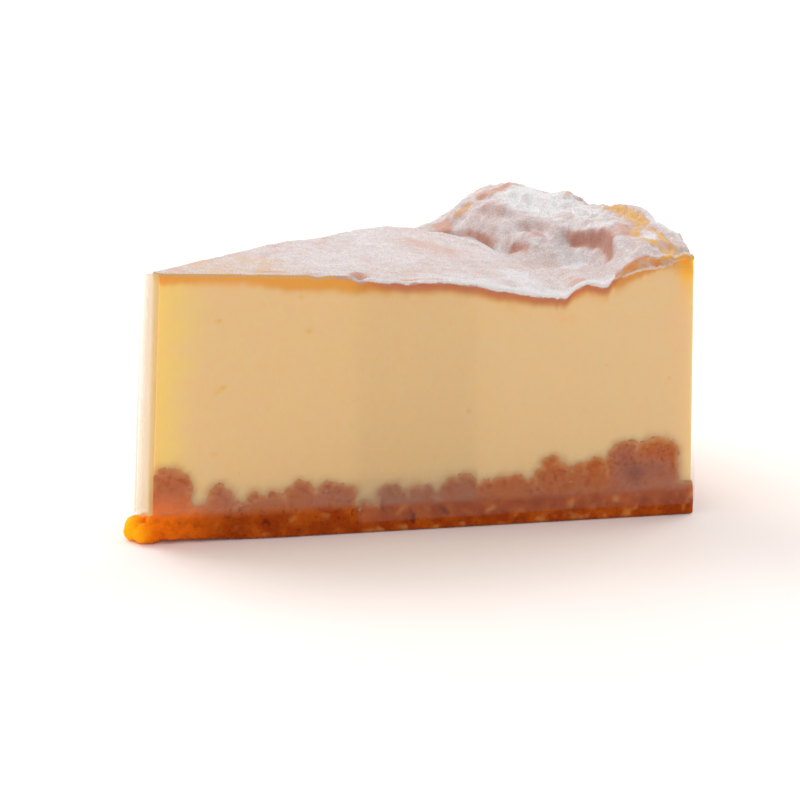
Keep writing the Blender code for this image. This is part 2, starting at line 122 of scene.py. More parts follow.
@dataclass(frozen=True)
class SlicePlan:
    """The plan that all pieces share, the same as that of the solids."""

    radius: float = 90.0
    angle: float = math.radians(41.0)
    apex_x: float = -45.0
    tip_height: float = 45.9
    lean: float = math.radians(0.95)
    blunt: float = 1.3
    base_radius: float = 90.7

    @property
    def half(self) -> float:
        """Half the slice's angle."""
        return self.angle / 2

    @property
    def apex(self) -> np.ndarray:
        """Where the two cuts would meet."""
        return np.array([self.apex_x, 0.0])

    def polar(self, x: np.ndarray, y: np.ndarray) -> tuple[np.ndarray, np.ndarray]:
        """Share of the radius and share of the way across at plan positions."""
        along = np.maximum(x - self.apex_x, 1e-6)
        return np.hypot(along, y) / self.radius, 0.5 + np.arctan2(y, along) / self.angle

    def on_cake(self, share: np.ndarray, across: np.ndarray) -> tuple[np.ndarray, np.ndarray]:
        """Plan position at a share of the radius and a share of the way across."""
        turned = (np.asarray(across) - 0.5) * self.angle
        reach = np.asarray(share) * self.radius
        return self.apex_x + reach * np.cos(turned), reach * np.sin(turned)

    def inwards(self, share: np.ndarray, across: np.ndarray) -> np.ndarray:
        """How far plan positions lie in from the front cut."""
        return share * self.radius * np.sin(np.clip(across, 0.0, 1.0) * self.angle)

    def cut_way(self, side: int) -> np.ndarray:
        """The direction from the apex along a cut: side is -1 for the front, 1 for the back."""
        return np.array([math.cos(self.half), side * math.sin(self.half)])

    def cut_normal(self, side: int) -> np.ndarray:
        """The direction straight out of a cut."""
        return np.array([-math.sin(self.half), side * math.cos(self.half)])

    def lean_off(self, height: np.ndarray) -> np.ndarray:
        """How far the cuts stand out at a height, since the slice is wider at its foot."""
        return math.tan(self.lean) * (self.tip_height - height)

    def leaned(self, share: np.ndarray, across: np.ndarray, height: np.ndarray) -> np.ndarray:
        """How far the leaning cuts move a plan position at a height.

        Args:
            share: Shares of the radius.
            across: Shares of the way across.
            height: Heights above the table.

        Returns:
            One row of x and y a position.
        """
        off = self.lean_off(height)[:, None]
        at_tip = np.array([-1 / math.sin(self.half), 0.0])
        turn = across[:, None]
        at_rim = (1 - turn) * self.cut_normal(-1) + turn * self.cut_normal(1)
        part = share[:, None]
        return off * ((1 - part) * at_tip + part * at_rim)


PLAN = SlicePlan()


@dataclass(frozen=True)
class Oval:
    """An oval on the top, by its middle's place and its half sizes in mm."""

    share: float
    across: float
    length: float
    width: float

    def squared(self, x: np.ndarray, y: np.ndarray, turn: float = 0.0) -> np.ndarray:
        """The squares of plan positions' distances from its middle, which are 1 at its edge."""
        at_x, at_y = PLAN.on_cake(self.share, self.across)
        heading = (self.across - 0.5) * PLAN.angle + math.pi / 2 + math.radians(turn)
        along = (x - at_x) * math.cos(heading) + (y - at_y) * math.sin(heading)
        aside = -(x - at_x) * math.sin(heading) + (y - at_y) * math.cos(heading)
        return (along / self.length) ** 2 + (aside / self.width) ** 2


@dataclass(frozen=True)
class Swell(Oval):
    """A swollen lobe on the rim: a steep dome up to its crest, turned by some degrees."""

    crest: float
    turn: float = 0.0
    shoulder: float = 0.62

    def raised(self, x: np.ndarray, y: np.ndarray, floor: np.ndarray) -> np.ndarray:
        """The floor's heights with the lobe standing on them."""
        dome = np.clip(1 - self.squared(x, y, self.turn), 0.0, 1.0) ** self.shoulder
        return np.maximum(floor, floor + (self.crest - floor) * dome)


@dataclass(frozen=True)
class Spot(Oval):
    """A soft oval on the top, with its amount."""

    amount: float

    SOFT = 0.45

    def cover(self, x: np.ndarray, y: np.ndarray) -> np.ndarray:
        """The spot's amount at plan positions, fading out at its edge."""
        return self.amount * fade(self.SOFT, 1.0, np.sqrt(self.squared(x, y)))


class Line:
    """A smooth line on the top through points, each a share of the radius and one across."""

    points: tuple[tuple[float, float], ...]

    STEPS = 10
    FADING = 0.22

    def _line(self) -> np.ndarray:
        """The line as a smooth run of plan points."""
        xs, ys = PLAN.on_cake(*np.array(self.points).T)
        ends = np.stack([xs, ys], axis=1)
        knots = np.vstack([2 * ends[0] - ends[1], ends, 2 * ends[-1] - ends[-2]])
        line = []
        for before, start, end, after in zip(knots, knots[1:], knots[2:], knots[3:]):
            bend = 2 * before - 5 * start + 4 * end - after
            swing = 3 * start - before - 3 * end + after
            for step in range(self.STEPS):
                part = step / self.STEPS
                line.append((2 * start + (end - before) * part + bend * part**2 + swing * part**3) / 2)
        line.append(ends[-1])
        return np.array(line)

    def measured(self, x: np.ndarray, y: np.ndarray) -> tuple[np.ndarray, ...]:
        """Where plan positions lie from the line.

        Args:
            x: Plan positions along X.
            y: Plan positions along Y.

        Returns:
            The signed distance (positive on the line's left), how much is left of it there
            (it fades out at its ends), and the direction out to its right as x and y.
        """
        line = self._line()
        starts, ways = line[:-1], np.diff(line, axis=0)
        lengths = np.hypot(*ways.T)
        points = np.stack([x, y], axis=1)
        best = np.full(len(x), np.inf)
        sign, part, foot = np.zeros(len(x)), np.zeros(len(x)), np.zeros((len(x), 2))
        done = np.concatenate([[0.0], np.cumsum(lengths)])
        for number, (start, way, length) in enumerate(zip(starts, ways, lengths)):
            rel = points - start
            along = np.clip(rel @ way / length**2, 0.0, 1.0)
            off = rel - along[:, None] * way
            distance = np.hypot(*off.T)
            nearer = distance < best
            best = np.where(nearer, distance, best)
            left = way[0] * rel[:, 1] - way[1] * rel[:, 0]
            sign = np.where(nearer, np.sign(left), sign)
            part = np.where(nearer, (done[number] + along * length) / done[-1], part)
            foot[nearer] = np.array([way[1], -way[0]]) / length
        left_of_it = smooth_step(0.0, self.FADING, part) * fade(1 - self.FADING, 1.0, part)
        return sign * best, left_of_it, foot


@dataclass(frozen=True)
class Patch(Line):
    """A ragged streak along a line where the skin is barer and of another brown.

    sugar and brown are what it adds to both, and rough is how torn the skin is there.
    """

    points: tuple[tuple[float, float], ...]
    width: float
    sugar: float
    brown: float
    rough: float = 0.0

    SOFT = (0.15, 1.25)
    RAGGED = ((0.30, 0.9, 81.0), (0.30, 2.6, 83.0))

    def cover(self, x: np.ndarray, y: np.ndarray) -> np.ndarray:
        """How much of the patch lies at plan positions, from 0 to 1."""
        off, left, _ = self.measured(x, y)
        ragged = np.abs(off) / self.width + layered(on_plan(x, y), self.RAGGED)
        return fade(*self.SOFT, ragged) * np.sqrt(left)


@dataclass(frozen=True)
class Fold(Line):
    """A fold of the puffed skin: a roll that rises along a line and leans over its foot.

    The line runs with the roll on its left. Where the fold's foot, its shade, its crest and its
    ridge lie is told in widths from the line. In the shade the skin gets less sugar and more
    brown, partly bare crust under the overhang and partly painted shade. On the ridge it gets
    more sugar, partly thicker powder and partly a painted highlight.
    """

    points: tuple[tuple[float, float], ...]
    rise: float
    groove: float
    width: float
    reach: float
    overhang: float
    stain: float

    FOOT, SHADE, CREST, DUSTED = -0.25, 0.15, 0.8, 1.5
    RAGGED, MOTTLED = ((0.35, 0.45, 21.0),), ((0.45, 0.9, 27.0),)

    def shaped(self, x: np.ndarray, y: np.ndarray) -> tuple[np.ndarray, np.ndarray, np.ndarray, np.ndarray]:
        """What the fold adds at plan positions.

        Args:
            x: Plan positions along X.
            y: Plan positions along Y.

        Returns:
            The height added, the plan shift as rows of x and y, how deep in the fold's shade a
            position lies, and how high on its roll, both from 0 to 1.
        """
        off, left, foot = self.measured(x, y)
        crest = self.CREST * self.width
        up = smooth_step((self.CREST - 1) * self.width, crest, off)
        roll = self.rise * up * fade(crest, self.reach, off)
        dip = self.groove * np.exp(-((off / self.width - self.FOOT) ** 2) * 2.0)
        lap = self.overhang * peak(off, crest, crest)
        flat = on_plan(x, y)
        ragged = off / self.width + layered(flat, self.RAGGED)
        # painted shade in the crease: less sugar and more brown, partly bare crust and partly shade
        shade = self.stain * np.exp(-((ragged - self.SHADE) ** 2) * (1.2 + 3.0 * (1 - left)))
        shade = shade * (1.0 + layered(flat, self.MOTTLED))
        # the ridge gets more sugar, partly thicker powder and partly a painted highlight
        ridge = np.exp(-((ragged - self.DUSTED) ** 2) * 1.2) * min(1.0, 1.5 * self.stain)
        return (roll - dip) * left, foot * (lap * left)[:, None], shade * left, ridge * left


@dataclass
class Skin:
    """The baked top over many plan positions, one value or row for each.

    shift is how far folds lean over, shade how deep in a fold's shade a position lies, where the
    colour is partly painted shade, ridge how high on one, swollen how far the skin has puffed up,
    and bare and tint are what patches add to its sugar and its brown.
    """

    height: np.ndarray
    shift: np.ndarray
    shade: np.ndarray
    ridge: np.ndarray
    swollen: np.ndarray
    bare: np.ndarray
    tint: np.ndarray


class BakedTop:
    """The baked top as a height over the plan, with its browning and its dusting of sugar."""

    # Share across, then where the puffed rim starts and is highest as shares of the radius,
    # and its height there and how much lower it is at the outer edge, in mm
    RIDGE = (
        (0.00, 0.845, 0.935, 44.3, 0.8),
        (0.08, 0.850, 0.950, 45.9, 1.4),
        (0.22, 0.855, 0.955, 46.0, 1.6),
        (0.36, 0.840, 0.950, 45.8, 2.0),
        (0.46, 0.800, 0.940, 45.5, 2.2),
        (0.60, 0.775, 0.925, 45.7, 2.2),
        (0.76, 0.770, 0.915, 45.4, 2.4),
        (0.88, 0.775, 0.920, 44.1, 1.6),
        (1.00, 0.810, 0.950, 40.3, 0.0),
    )
    SWELLS = (
        Swell(0.805, 0.90, 5.2, 3.8, 39.5, 18),
        Swell(0.850, 0.47, 10.0, 7.5, 42.2, -16, 1.25),
        Swell(0.925, 0.585, 2.0, 1.8, 46.5),
        Swell(0.985, 0.37, 7.5, 3.0, 46.1),
        Swell(0.985, 0.11, 5.0, 3.0, 45.9),
    )
    # Folds: points, then rise, groove, width, reach and overhang in mm, and how much their creases
    # darken, partly bare crust and partly painted shade
    FOLDS = (
        Fold(
            ((0.842, 0.44), (0.858, 0.36), (0.873, 0.29), (0.879, 0.21), (0.866, 0.07)),
            *(1.4, 0.6, 1.0, 5.5, 0.3, 0.60),
        ),
        Fold(((0.772, 0.58), (0.777, 0.69), (0.775, 0.80), (0.758, 0.93)), 0.5, 0.6, 0.6, 2.2, 0.1, 0.40),
        Fold(((0.782, 0.57), (0.792, 0.48), (0.789, 0.42)), 0.35, 0.25, 0.6, 2.6, 0.1, 0.22),
        Fold(((0.812, 0.60), (0.833, 0.50), (0.828, 0.39)), 0.6, 0.35, 1.2, 3.4, 0.1, 0.12),
        Fold(((0.820, 0.82), (0.820, 0.73), (0.831, 0.62)), 0.5, 0.35, 1.2, 3.2, 0.1, 0.12),
        Fold(((0.860, 0.77), (0.872, 0.66), (0.868, 0.55)), 0.4, 0.3, 1.3, 3.2, 0.1, 0.05),
        Fold(((0.845, 0.93), (0.850, 0.85), (0.858, 0.78)), 0.4, 0.3, 1.1, 2.8, 0.1, 0.08),
    )
    SINK_SLOPE = 5.6
    SINK_STEP, STEP_START, STEP_END = 0.9, 0.34, 0.50
    SINK_BOWL, BOWL_START = 48.0, 0.55
    RIM_START, RIM_RISE = 0.77, 3.4
    FRONT_SHELF, SHELF_FULL, SHELF_WIDTH = 1.2, 0.81, (0.05, 0.4)
    RIDGE_SHOULDER = 0.85
    WRINKLE_START, WRINKLE_FULL = 0.5, 3.5

    # Notches in the front edge: share of radius, half width, depth and reach inwards, in mm
    NOTCHES = ((0.386, 1.5, 0.8, 1.0), (0.749, 0.5, 0.35, 1.4), (0.31, 1.6, 0.35, 0.8))

    # The crust rises over the blister at the front cut: share of radius, half length, reach, rise
    ARCH_SHARE, ARCH_HALF, ARCH_REACH, ARCH_RISE = 0.918, 5.4, 4.0, 0.55

    # Where sugar lies thick (above 0) or is missing (below 0)
    SUGAR = (
        Spot(0.47, 0.45, 9.0, 10.0, 0.06),
        Spot(0.37, 0.40, 6.0, 6.0, 0.10),
        Spot(0.62, 0.62, 9.0, 8.0, -0.10),
        Spot(0.89, 0.66, 11.0, 6.0, 0.50),
        Spot(0.91, 0.45, 6.0, 3.0, 0.30),
        Spot(1.00, 0.22, 11.0, 2.6, 0.40),
        Spot(0.835, 0.30, 5.0, 3.0, 0.30),
        Spot(0.700, 0.16, 7.0, 4.5, 0.25),
        Spot(0.902, 0.19, 4.0, 3.0, -0.40),
        Spot(0.900, 0.80, 5.0, 3.0, -0.25),
        Spot(0.16, 0.50, 9.0, 14.0, -0.10),
        Spot(0.385, 0.02, 3.0, 2.0, -0.55),
        Spot(0.941, 0.105, 1.5, 1.2, 0.80),
        Spot(0.66, 0.30, 8.0, 5.0, -0.08),
        Spot(0.80, 0.08, 2.6, 2.0, -0.35),
    )
    # Where the skin is browner (above 0) or paler gold (below 0) than the rest
    BROWN = (
        Spot(0.16, 0.50, 9.0, 14.0, -0.38),
        Spot(0.385, 0.02, 3.0, 2.0, 0.30),
        Spot(0.943, 0.110, 4.0, 3.4, -0.30),
    )
    # Bare streaks: along the left flank, over the rim, round its white hollow, by the front edge.
    # Points, half width in mm, then the sugar and the brown that it adds, and how torn it is
    BARE = (
        Patch(((0.900, 0.795), (0.886, 0.822), (0.872, 0.843), (0.850, 0.858)), 2.0, -0.64, 0.14, 0.3),
        Patch(((0.845, 0.868), (0.822, 0.874), (0.802, 0.885)), 0.9, -0.45, -0.25, 0.2),
        Patch(((0.800, 0.940), (0.784, 0.905), (0.772, 0.850)), 1.9, -0.55, 0.10),
        Patch(((0.935, 0.625), (0.926, 0.590), (0.925, 0.555)), 1.1, -0.50, -0.45, 0.6),
        Patch(
            ((0.944, 0.450), (0.956, 0.390), (0.961, 0.330), (0.958, 0.270), (0.950, 0.200)),
            *(2.1, -0.44, -0.40, 1.5),
        ),
        Patch(((0.956, 0.210), (0.962, 0.140), (0.964, 0.080), (0.968, 0.000)), 0.9, -0.50, -0.30, 0.7),
        Patch(((0.945, 0.210), (0.922, 0.165), (0.922, 0.120)), 0.9, -0.55, -0.36, 0.7),
        Patch(((0.922, 0.120), (0.942, 0.060), (0.965, -0.010)), 0.8, -0.30, -0.40, 0.7),
        Patch(((0.450, 0.014), (0.500, 0.016), (0.550, 0.012)), 0.5, -0.50, -0.10, 0.3),
        Patch(((0.992, 0.060), (0.975, 0.030), (0.962, 0.000), (0.950, -0.040)), 1.2, -0.12, -0.55, 0.4),
        Patch(((0.200, 0.14), (0.236, 0.12), (0.262, 0.09)), 0.7, -0.55, 0.10, 0.5),
        Patch(((0.808, 0.540), (0.816, 0.470), (0.815, 0.410)), 0.7, -0.26, 0.18),
        Patch(((0.784, 0.560), (0.788, 0.490), (0.783, 0.430)), 0.6, -0.30, 0.20),
        Patch(((0.785, 0.800), (0.781, 0.720), (0.783, 0.620)), 0.6, -0.20, 0.14),
    )
    # Dents and rises that the puffed rim and the front edge have, by their heights in mm
    RELIEF = (
        Spot(0.860, 1.00, 3.4, 6.0, -0.7),
        Spot(0.812, 0.870, 3.0, 3.0, -0.8),
        Spot(0.955, 0.77, 4.4, 4.4, -0.7),
        Spot(0.965, 0.545, 3.6, 4.0, -1.9),
        Spot(0.990, 0.610, 3.0, 2.2, -0.9),
        Spot(0.990, 0.200, 3.6, 3.4, 0.7),
        Spot(0.990, 0.090, 3.4, 3.4, -0.9),
        Spot(1.000, 0.000, 2.0, 3.0, 0.9),
        Spot(0.800, 0.000, 3.3, 3.4, 0.8),
        Spot(0.789, 0.000, 1.3, 2.4, 0.55),
        Spot(0.680, 0.000, 4.0, 7.0, -0.45),
        Spot(0.530, 0.000, 4.0, 5.0, 0.35),
    )
    # White drift along the front edge: share of radius where it starts, is full and ends
    DRIFT_RUN, DRIFT_END, DRIFT_WIDTH, DRIFT = (0.36, 0.70), (0.84, 0.86), 2.8, 0.45

    # How the skin is uneven in mm: where puffed, round the rim, in pits, all over, and where torn
    PUCKERED, PUCKERS = 0.9, ((1.0, 0.13, 0.0), (0.5, 0.27, 0.0))
    WRINKLED, WRINKLES, STRETCHED = 0.34, ((1.0, 0.36, 3.0),), (1.6, 0.7)
    BUMPS, PITS, PITTED = ((0.30, 0.30, 15.0),), ((0.13, 0.8, 8.0),), 0.3
    GRAIN, TORN = ((0.12, 0.35, 0.0), (0.04, 0.9, 5.0)), ((0.30, 1.1, 31.0), (0.18, 2.3, 33.0))

    # How much sugar lies on plain skin, how uneven it is, what ridges add (partly a painted
    # highlight) and folds' shade takes (partly painted shade), and what is left on steep skin
    DUSTED, DUST = 0.42, ((0.12, 0.16, 2.0), (0.12, 0.45, 4.0), (0.12, 1.1, 6.0))
    ON_RIDGES, IN_FOLDS, ON_STEEP = 0.35, 0.70, 0.60

    # How brown plain skin is, how uneven, and what folds' shade (partly painted shade) and steep
    # skin add
    BROWNED, BROWNS = 0.48, ((0.14, 0.22, 9.0), (0.10, 0.8, 12.0))
    BROWN_FOLDS, BROWN_STEEP = 0.55, 0.10

    def _ridge(self, across: np.ndarray) -> list[np.ndarray]:
        """The puffed rim's four values at shares of the way across."""
        rows = np.array(self.RIDGE)
        place = np.clip(across, 0.0, 1.0)
        before = np.clip(np.searchsorted(rows[:, 0], place, side="right") - 1, 0, len(rows) - 2)
        start, end = rows[before], rows[before + 1]
        share = (place - start[:, 0]) / (end[:, 0] - start[:, 0])
        share = share * share * (3 - 2 * share)
        return [start[:, n] + (end[:, n] - start[:, n]) * share for n in range(1, 5)]

    def plain(self, x: np.ndarray, y: np.ndarray) -> tuple[np.ndarray, np.ndarray]:
        """Height of the top before its folds and its grain.

        Args:
            x: Plan positions along X.
            y: Plan positions along Y.

        Returns:
            The heights, and how far the skin has puffed up there, from 0 to 1.
        """
        share, across = PLAN.polar(x, y)
        sunk = np.minimum(share, self.RIM_START)
        floor = PLAN.tip_height - self.SINK_SLOPE * sunk
        floor -= self.SINK_STEP * smooth_step(self.STEP_START, self.STEP_END, sunk)
        floor -= self.SINK_BOWL * np.maximum(sunk - self.BOWL_START, 0.0) ** 2
        floor += self.RIM_RISE * smooth_step(self.RIM_START, 1.0, share)
        shelf = smooth_step(self.RIM_START, self.SHELF_FULL, share)
        floor += self.FRONT_SHELF * shelf * fade(*self.SHELF_WIDTH, across)
        start, crest, height, drop = self._ridge(across)
        climb = np.clip((share - start) / (crest - start), 0.0, 1.0)
        up = floor + (height - floor) * (1 - (1 - climb) ** 2) ** self.RIDGE_SHOULDER
        down = height - drop * (np.maximum(share - crest, 0.0) / (1 - crest)) ** 2
        puffed = np.maximum(floor, np.where(share < crest, up, down))
        for swell in self.SWELLS:
            puffed = swell.raised(x, y, puffed)
        swollen = smooth_step(self.WRINKLE_START, self.WRINKLE_FULL, puffed - floor)
        return puffed + self.PUCKERED * swollen * layered(on_plan(x, y), self.PUCKERS), swollen

    def _arch(self, share: np.ndarray, across: np.ndarray) -> np.ndarray:
        """How much of its rise the crust has over the blister in the front cut."""
        along = np.clip(1 - ((share - self.ARCH_SHARE) * PLAN.radius / self.ARCH_HALF) ** 2, 0.0, 1.0)
        return along * fade(0.5, self.ARCH_REACH, PLAN.inwards(share, across))

    def notched(self, x: np.ndarray, y: np.ndarray) -> np.ndarray:
        """How much lower the front edge's notches make the top."""
        share, across = PLAN.polar(x, y)
        inwards = PLAN.inwards(share, across)
        lowered = np.zeros_like(x)
        for place, half_width, depth, reach in self.NOTCHES:
            aside = np.abs(share - place) * PLAN.radius / half_width
            lowered += depth * np.clip(1 - aside, 0.0, 1.0) * np.exp(-((inwards / reach) ** 2))
        return lowered

    def shaped(self, x: np.ndarray, y: np.ndarray) -> Skin:
        """The finished top over plan positions.

        Args:
            x: Plan positions along X.
            y: Plan positions along Y.

        Returns:
            The skin there.
        """
        height, swollen = self.plain(x, y)
        shift, shade, ridge = np.zeros((len(x), 2)), np.zeros(len(x)), np.zeros(len(x))
        for fold in self.FOLDS:
            added, moved, shaded, risen = fold.shaped(x, y)
            height, shift = height + added, shift + moved
            shade, ridge = np.maximum(shade, shaded), np.maximum(ridge, risen)
        flat = on_plan(x, y)
        share, across = PLAN.polar(x, y)
        # wrinkles run round the rim on the puffed part, and soft pits lie all over
        run_stretch, round_stretch = self.STRETCHED
        sideways = across * PLAN.angle * PLAN.radius
        stretched = on_plan(share * PLAN.radius * run_stretch, sideways * round_stretch)
        height += self.WRINKLED * swollen * (1 - 2 * np.abs(layered(stretched, self.WRINKLES)))
        height += swollen * layered(flat, self.BUMPS) + (self.PITTED + swollen) * layered(flat, self.PITS)
        height += self.ARCH_RISE * self._arch(share, across)
        height += sum(spot.cover(x, y) for spot in self.RELIEF) + layered(flat, self.GRAIN)
        covers = [(patch, patch.cover(x, y)) for patch in self.BARE]
        height += sum(patch.rough * cover for patch, cover in covers) * layered(flat, self.TORN)
        height -= self.notched(x, y)
        bare = np.minimum.reduce([patch.sugar * cover for patch, cover in covers])
        tint = sum(patch.brown * cover for patch, cover in covers)
        return Skin(height, shift, shade, ridge, swollen, bare, tint)

    def sugar(self, places: np.ndarray, up: np.ndarray, skin: Skin) -> np.ndarray:
        """How much icing sugar lies on the skin, from 0 to 1.

        Args:
            places: Where the skin is, one row of x, y and z each.
            up: How far it faces up.
            skin: What it is like.

        Returns:
            The amounts, less on steep skin and in folds.
        """
        x, y = places[:, 0], places[:, 1]
        lying = self.DUSTED + layered(places, self.DUST) + skin.bare
        lying += sum(spot.cover(x, y) for spot in self.SUGAR)
        share, across = PLAN.polar(x, y)
        along = smooth_step(*self.DRIFT_RUN, share) * fade(*self.DRIFT_END, share)
        lying += self.DRIFT * along * peak(PLAN.inwards(share, across), 0.0, self.DRIFT_WIDTH)
        # ridges get more sugar, partly a painted highlight; folds' shade takes it away, partly painted shade
        lying += self.ON_RIDGES * skin.ridge - self.IN_FOLDS * skin.shade
        level = smooth_step(0.1, 0.75, up)
        return np.clip(lying * (self.ON_STEEP + (1 - self.ON_STEEP) * level), 0.0, 1.0)

    def browned(self, places: np.ndarray, up: np.ndarray, skin: Skin) -> np.ndarray:
        """How browned the skin is, from 0, pale gold, to 1, dark brown.

        Args:
            places: Where the skin is, one row of x, y and z each.
            up: How far it faces up.
            skin: What it is like.

        Returns:
            The amounts.
        """
        brown = self.BROWNED + layered(places, self.BROWNS) + skin.tint
        brown += sum(spot.cover(places[:, 0], places[:, 1]) for spot in self.BROWN)
        # folds' shade adds brown, partly bare crust and partly painted shade
        brown = brown + self.BROWN_FOLDS * skin.shade + self.BROWN_STEEP * fade(0.5, 0.9, up)
        return np.clip(brown, 0.0, 1.0)


class Nodes:
    """Draws the node tree of one material."""

    def __init__(self, name: str) -> None:
        """Starts a material that holds one Principled shader."""
        self.material = bpy.data.materials.new(name)
        self.material.use_nodes = True
        self.tree = self.material.node_tree
        self.shader = self.tree.nodes["Principled BSDF"]

    def add(self, kind: str, settings: Optional[dict] = None, **inputs: object) -> bpy.types.Node:
        """A node.

        Args:
            kind: The node's type without its ShaderNode prefix.
            settings: Properties of the node.
            **inputs: Values or sockets for its inputs, with _ for a space and i0, i1 for places.

        Returns:
            The node.
        """
        node = self.tree.nodes.new("ShaderNode" + kind)
        for key, value in (settings or {}).items():
            setattr(node, key, value)
        for key, value in inputs.items():
            place = int(key[1:]) if key[0] == "i" and key[1:].isdigit() else key.replace("_", " ")
            self.feed(node.inputs[place], value)
        return node

    def feed(self, socket: bpy.types.NodeSocket, value: object) -> None:
        """Sets a socket to a number or colour, or links another node's output to it."""
        if isinstance(value, bpy.types.NodeSocket):
            self.tree.links.new(value, socket)
        elif isinstance(value, tuple) and len(value) == 3 and socket.type == "RGBA":
            socket.default_value = (*value, 1.0)
        else:
            socket.default_value = value

    def place(self) -> bpy.types.NodeSocket:
        """Object coordinates in metres."""
        return self.add("TexCoord").outputs["Object"]

    def attribute(self, name: str) -> bpy.types.NodeSocket:
        """A number that the mesh holds for each corner."""
        return self.add("Attribute", {"attribute_name": name}).outputs["Fac"]

    def noise(self, size: float, detail: float = 2.0, rough: float = 0.5) -> bpy.types.NodeSocket:
        """Noise from 0 to 1 in cells of a size in mm."""
        node = self.add(
            "TexNoise", Vector=self.place(), Scale=1 / (size * MM), Detail=detail, Roughness=rough
        )
        return node.outputs["Fac"]

    def cells(self, size: float) -> bpy.types.Node:
        """A Voronoi pattern in cells of a size in mm."""
        return self.add("TexVoronoi", Vector=self.place(), Scale=1 / (size * MM))

    def plus(self, first: object, second: object) -> bpy.types.NodeSocket:
        """The sum of two values."""
        return self.add("Math", {"operation": "ADD"}, i0=first, i1=second).outputs[0]

    def times(self, first: object, second: object) -> bpy.types.NodeSocket:
        """The product of two values."""
        return self.add("Math", {"operation": "MULTIPLY"}, i0=first, i1=second).outputs[0]

    def span(
        self, value: object, low: float, high: float, start: float = 0.0, end: float = 1.0
    ) -> bpy.types.NodeSocket:
        """A value from low to high drawn smoothly over start to end."""
        smooth = {"interpolation_type": "SMOOTHSTEP"}
        node = self.add(
            "MapRange", smooth, Value=value, From_Min=low, From_Max=high, To_Min=start, To_Max=end
        )
        return node.outputs["Result"]

    def mix(self, part: object, first: object, second: object) -> bpy.types.NodeSocket:
        """A mix of two colours."""
        node = self.add("Mix", {"data_type": "RGBA"}, Factor=part)
        colours = [socket for socket in node.inputs if socket.type == "RGBA"]
        self.feed(colours[0], first)
        self.feed(colours[1], second)
        return next(socket for socket in node.outputs if socket.type == "RGBA")

    def over(self, under: object, name: str, colour: object, most: float = 1.0) -> bpy.types.NodeSocket:
        """A colour laid over another where an attribute says so, up to a share."""
        return self.mix(self.span(self.attribute(name), 0.0, 1.0, 0.0, most), under, colour)

    def ramp(self, value: object, stops: Sequence[tuple[float, Colour]]) -> bpy.types.NodeSocket:
        """A colour that a value picks from stops."""
        node = self.add("ValToRGB", Fac=value)
        band = node.color_ramp
        while len(band.elements) < len(stops):
            band.elements.new(0.5)
        for element, (place, colour) in zip(band.elements, stops):
            element.position = place
            element.color = (*colour, 1.0)
        return node.outputs["Color"]

    def bump(self, height: object, depth: float, strength: float) -> None:
        """Gives the shader a bump of a depth in mm and a strength."""
        node = self.add("Bump", Height=height, Distance=depth * MM, Strength=strength)
        self.feed(self.shader.inputs["Normal"], node.outputs["Normal"])

    def finish(self, colour: object, **values: object) -> bpy.types.Material:
        """Sets the shader's colour and its other sockets, and returns the material."""
        self.feed(self.shader.inputs["Base Color"], colour)
        for key, value in values.items():
            self.feed(self.shader.inputs[key.replace("_", " ")], value)
        return self.material


@dataclass(frozen=True)
class SkinFinish:
    """The browned skin under its dusting of icing sugar."""

    gold: Colour = (0.72, 0.44, 0.14)
    rose: Colour = (0.60, 0.37, 0.30)
    brown: Colour = (0.41, 0.19, 0.14)
    sugar: Colour = (0.79, 0.805, 0.82)
    thick: Colour = (0.90, 0.91, 0.92)
    melted: Colour = (0.55, 0.45, 0.44)

    def made(self) -> bpy.types.Material:
        """The material, which reads the browned and sugar attributes."""
        nodes = Nodes("browned_skin")
        uneven = nodes.span(nodes.noise(0.6), 0.2, 0.8, -0.08, 0.08)
        brown = nodes.plus(nodes.attribute("browned"), uneven)
        skin = nodes.ramp(brown, ((0.0, self.gold), (0.5, self.rose), (1.0, self.brown)))
        lying = nodes.attribute("sugar")
        fine = nodes.times(nodes.plus(nodes.noise(0.45, 3.0, 0.7), -0.5), 0.90)
        soft = nodes.times(nodes.plus(nodes.noise(1.6), -0.5), 0.45)
        spread = nodes.plus(lying, nodes.plus(fine, soft))
        wet = nodes.mix(nodes.span(lying, 0.05, 0.42, 0.0, 0.85), skin, self.melted)
        powder = nodes.mix(nodes.span(lying, 0.55, 0.90), self.sugar, self.thick)
        colour = nodes.mix(nodes.span(spread, 0.12, 0.95, 0.0, 0.95), wet, powder)
        nodes.bump(nodes.plus(nodes.noise(0.22, 3.0), nodes.times(fine, 0.5)), 0.22, 0.9)
        return nodes.finish(
            colour,
            Roughness=nodes.span(lying, 0.1, 0.5, 0.5, 0.85),
            Specular_IOR_Level=0.25,
            Subsurface_Weight=0.25,
            Subsurface_Radius=(1.0, 0.55, 0.3),
            Subsurface_Scale=1.2 * MM,
        )


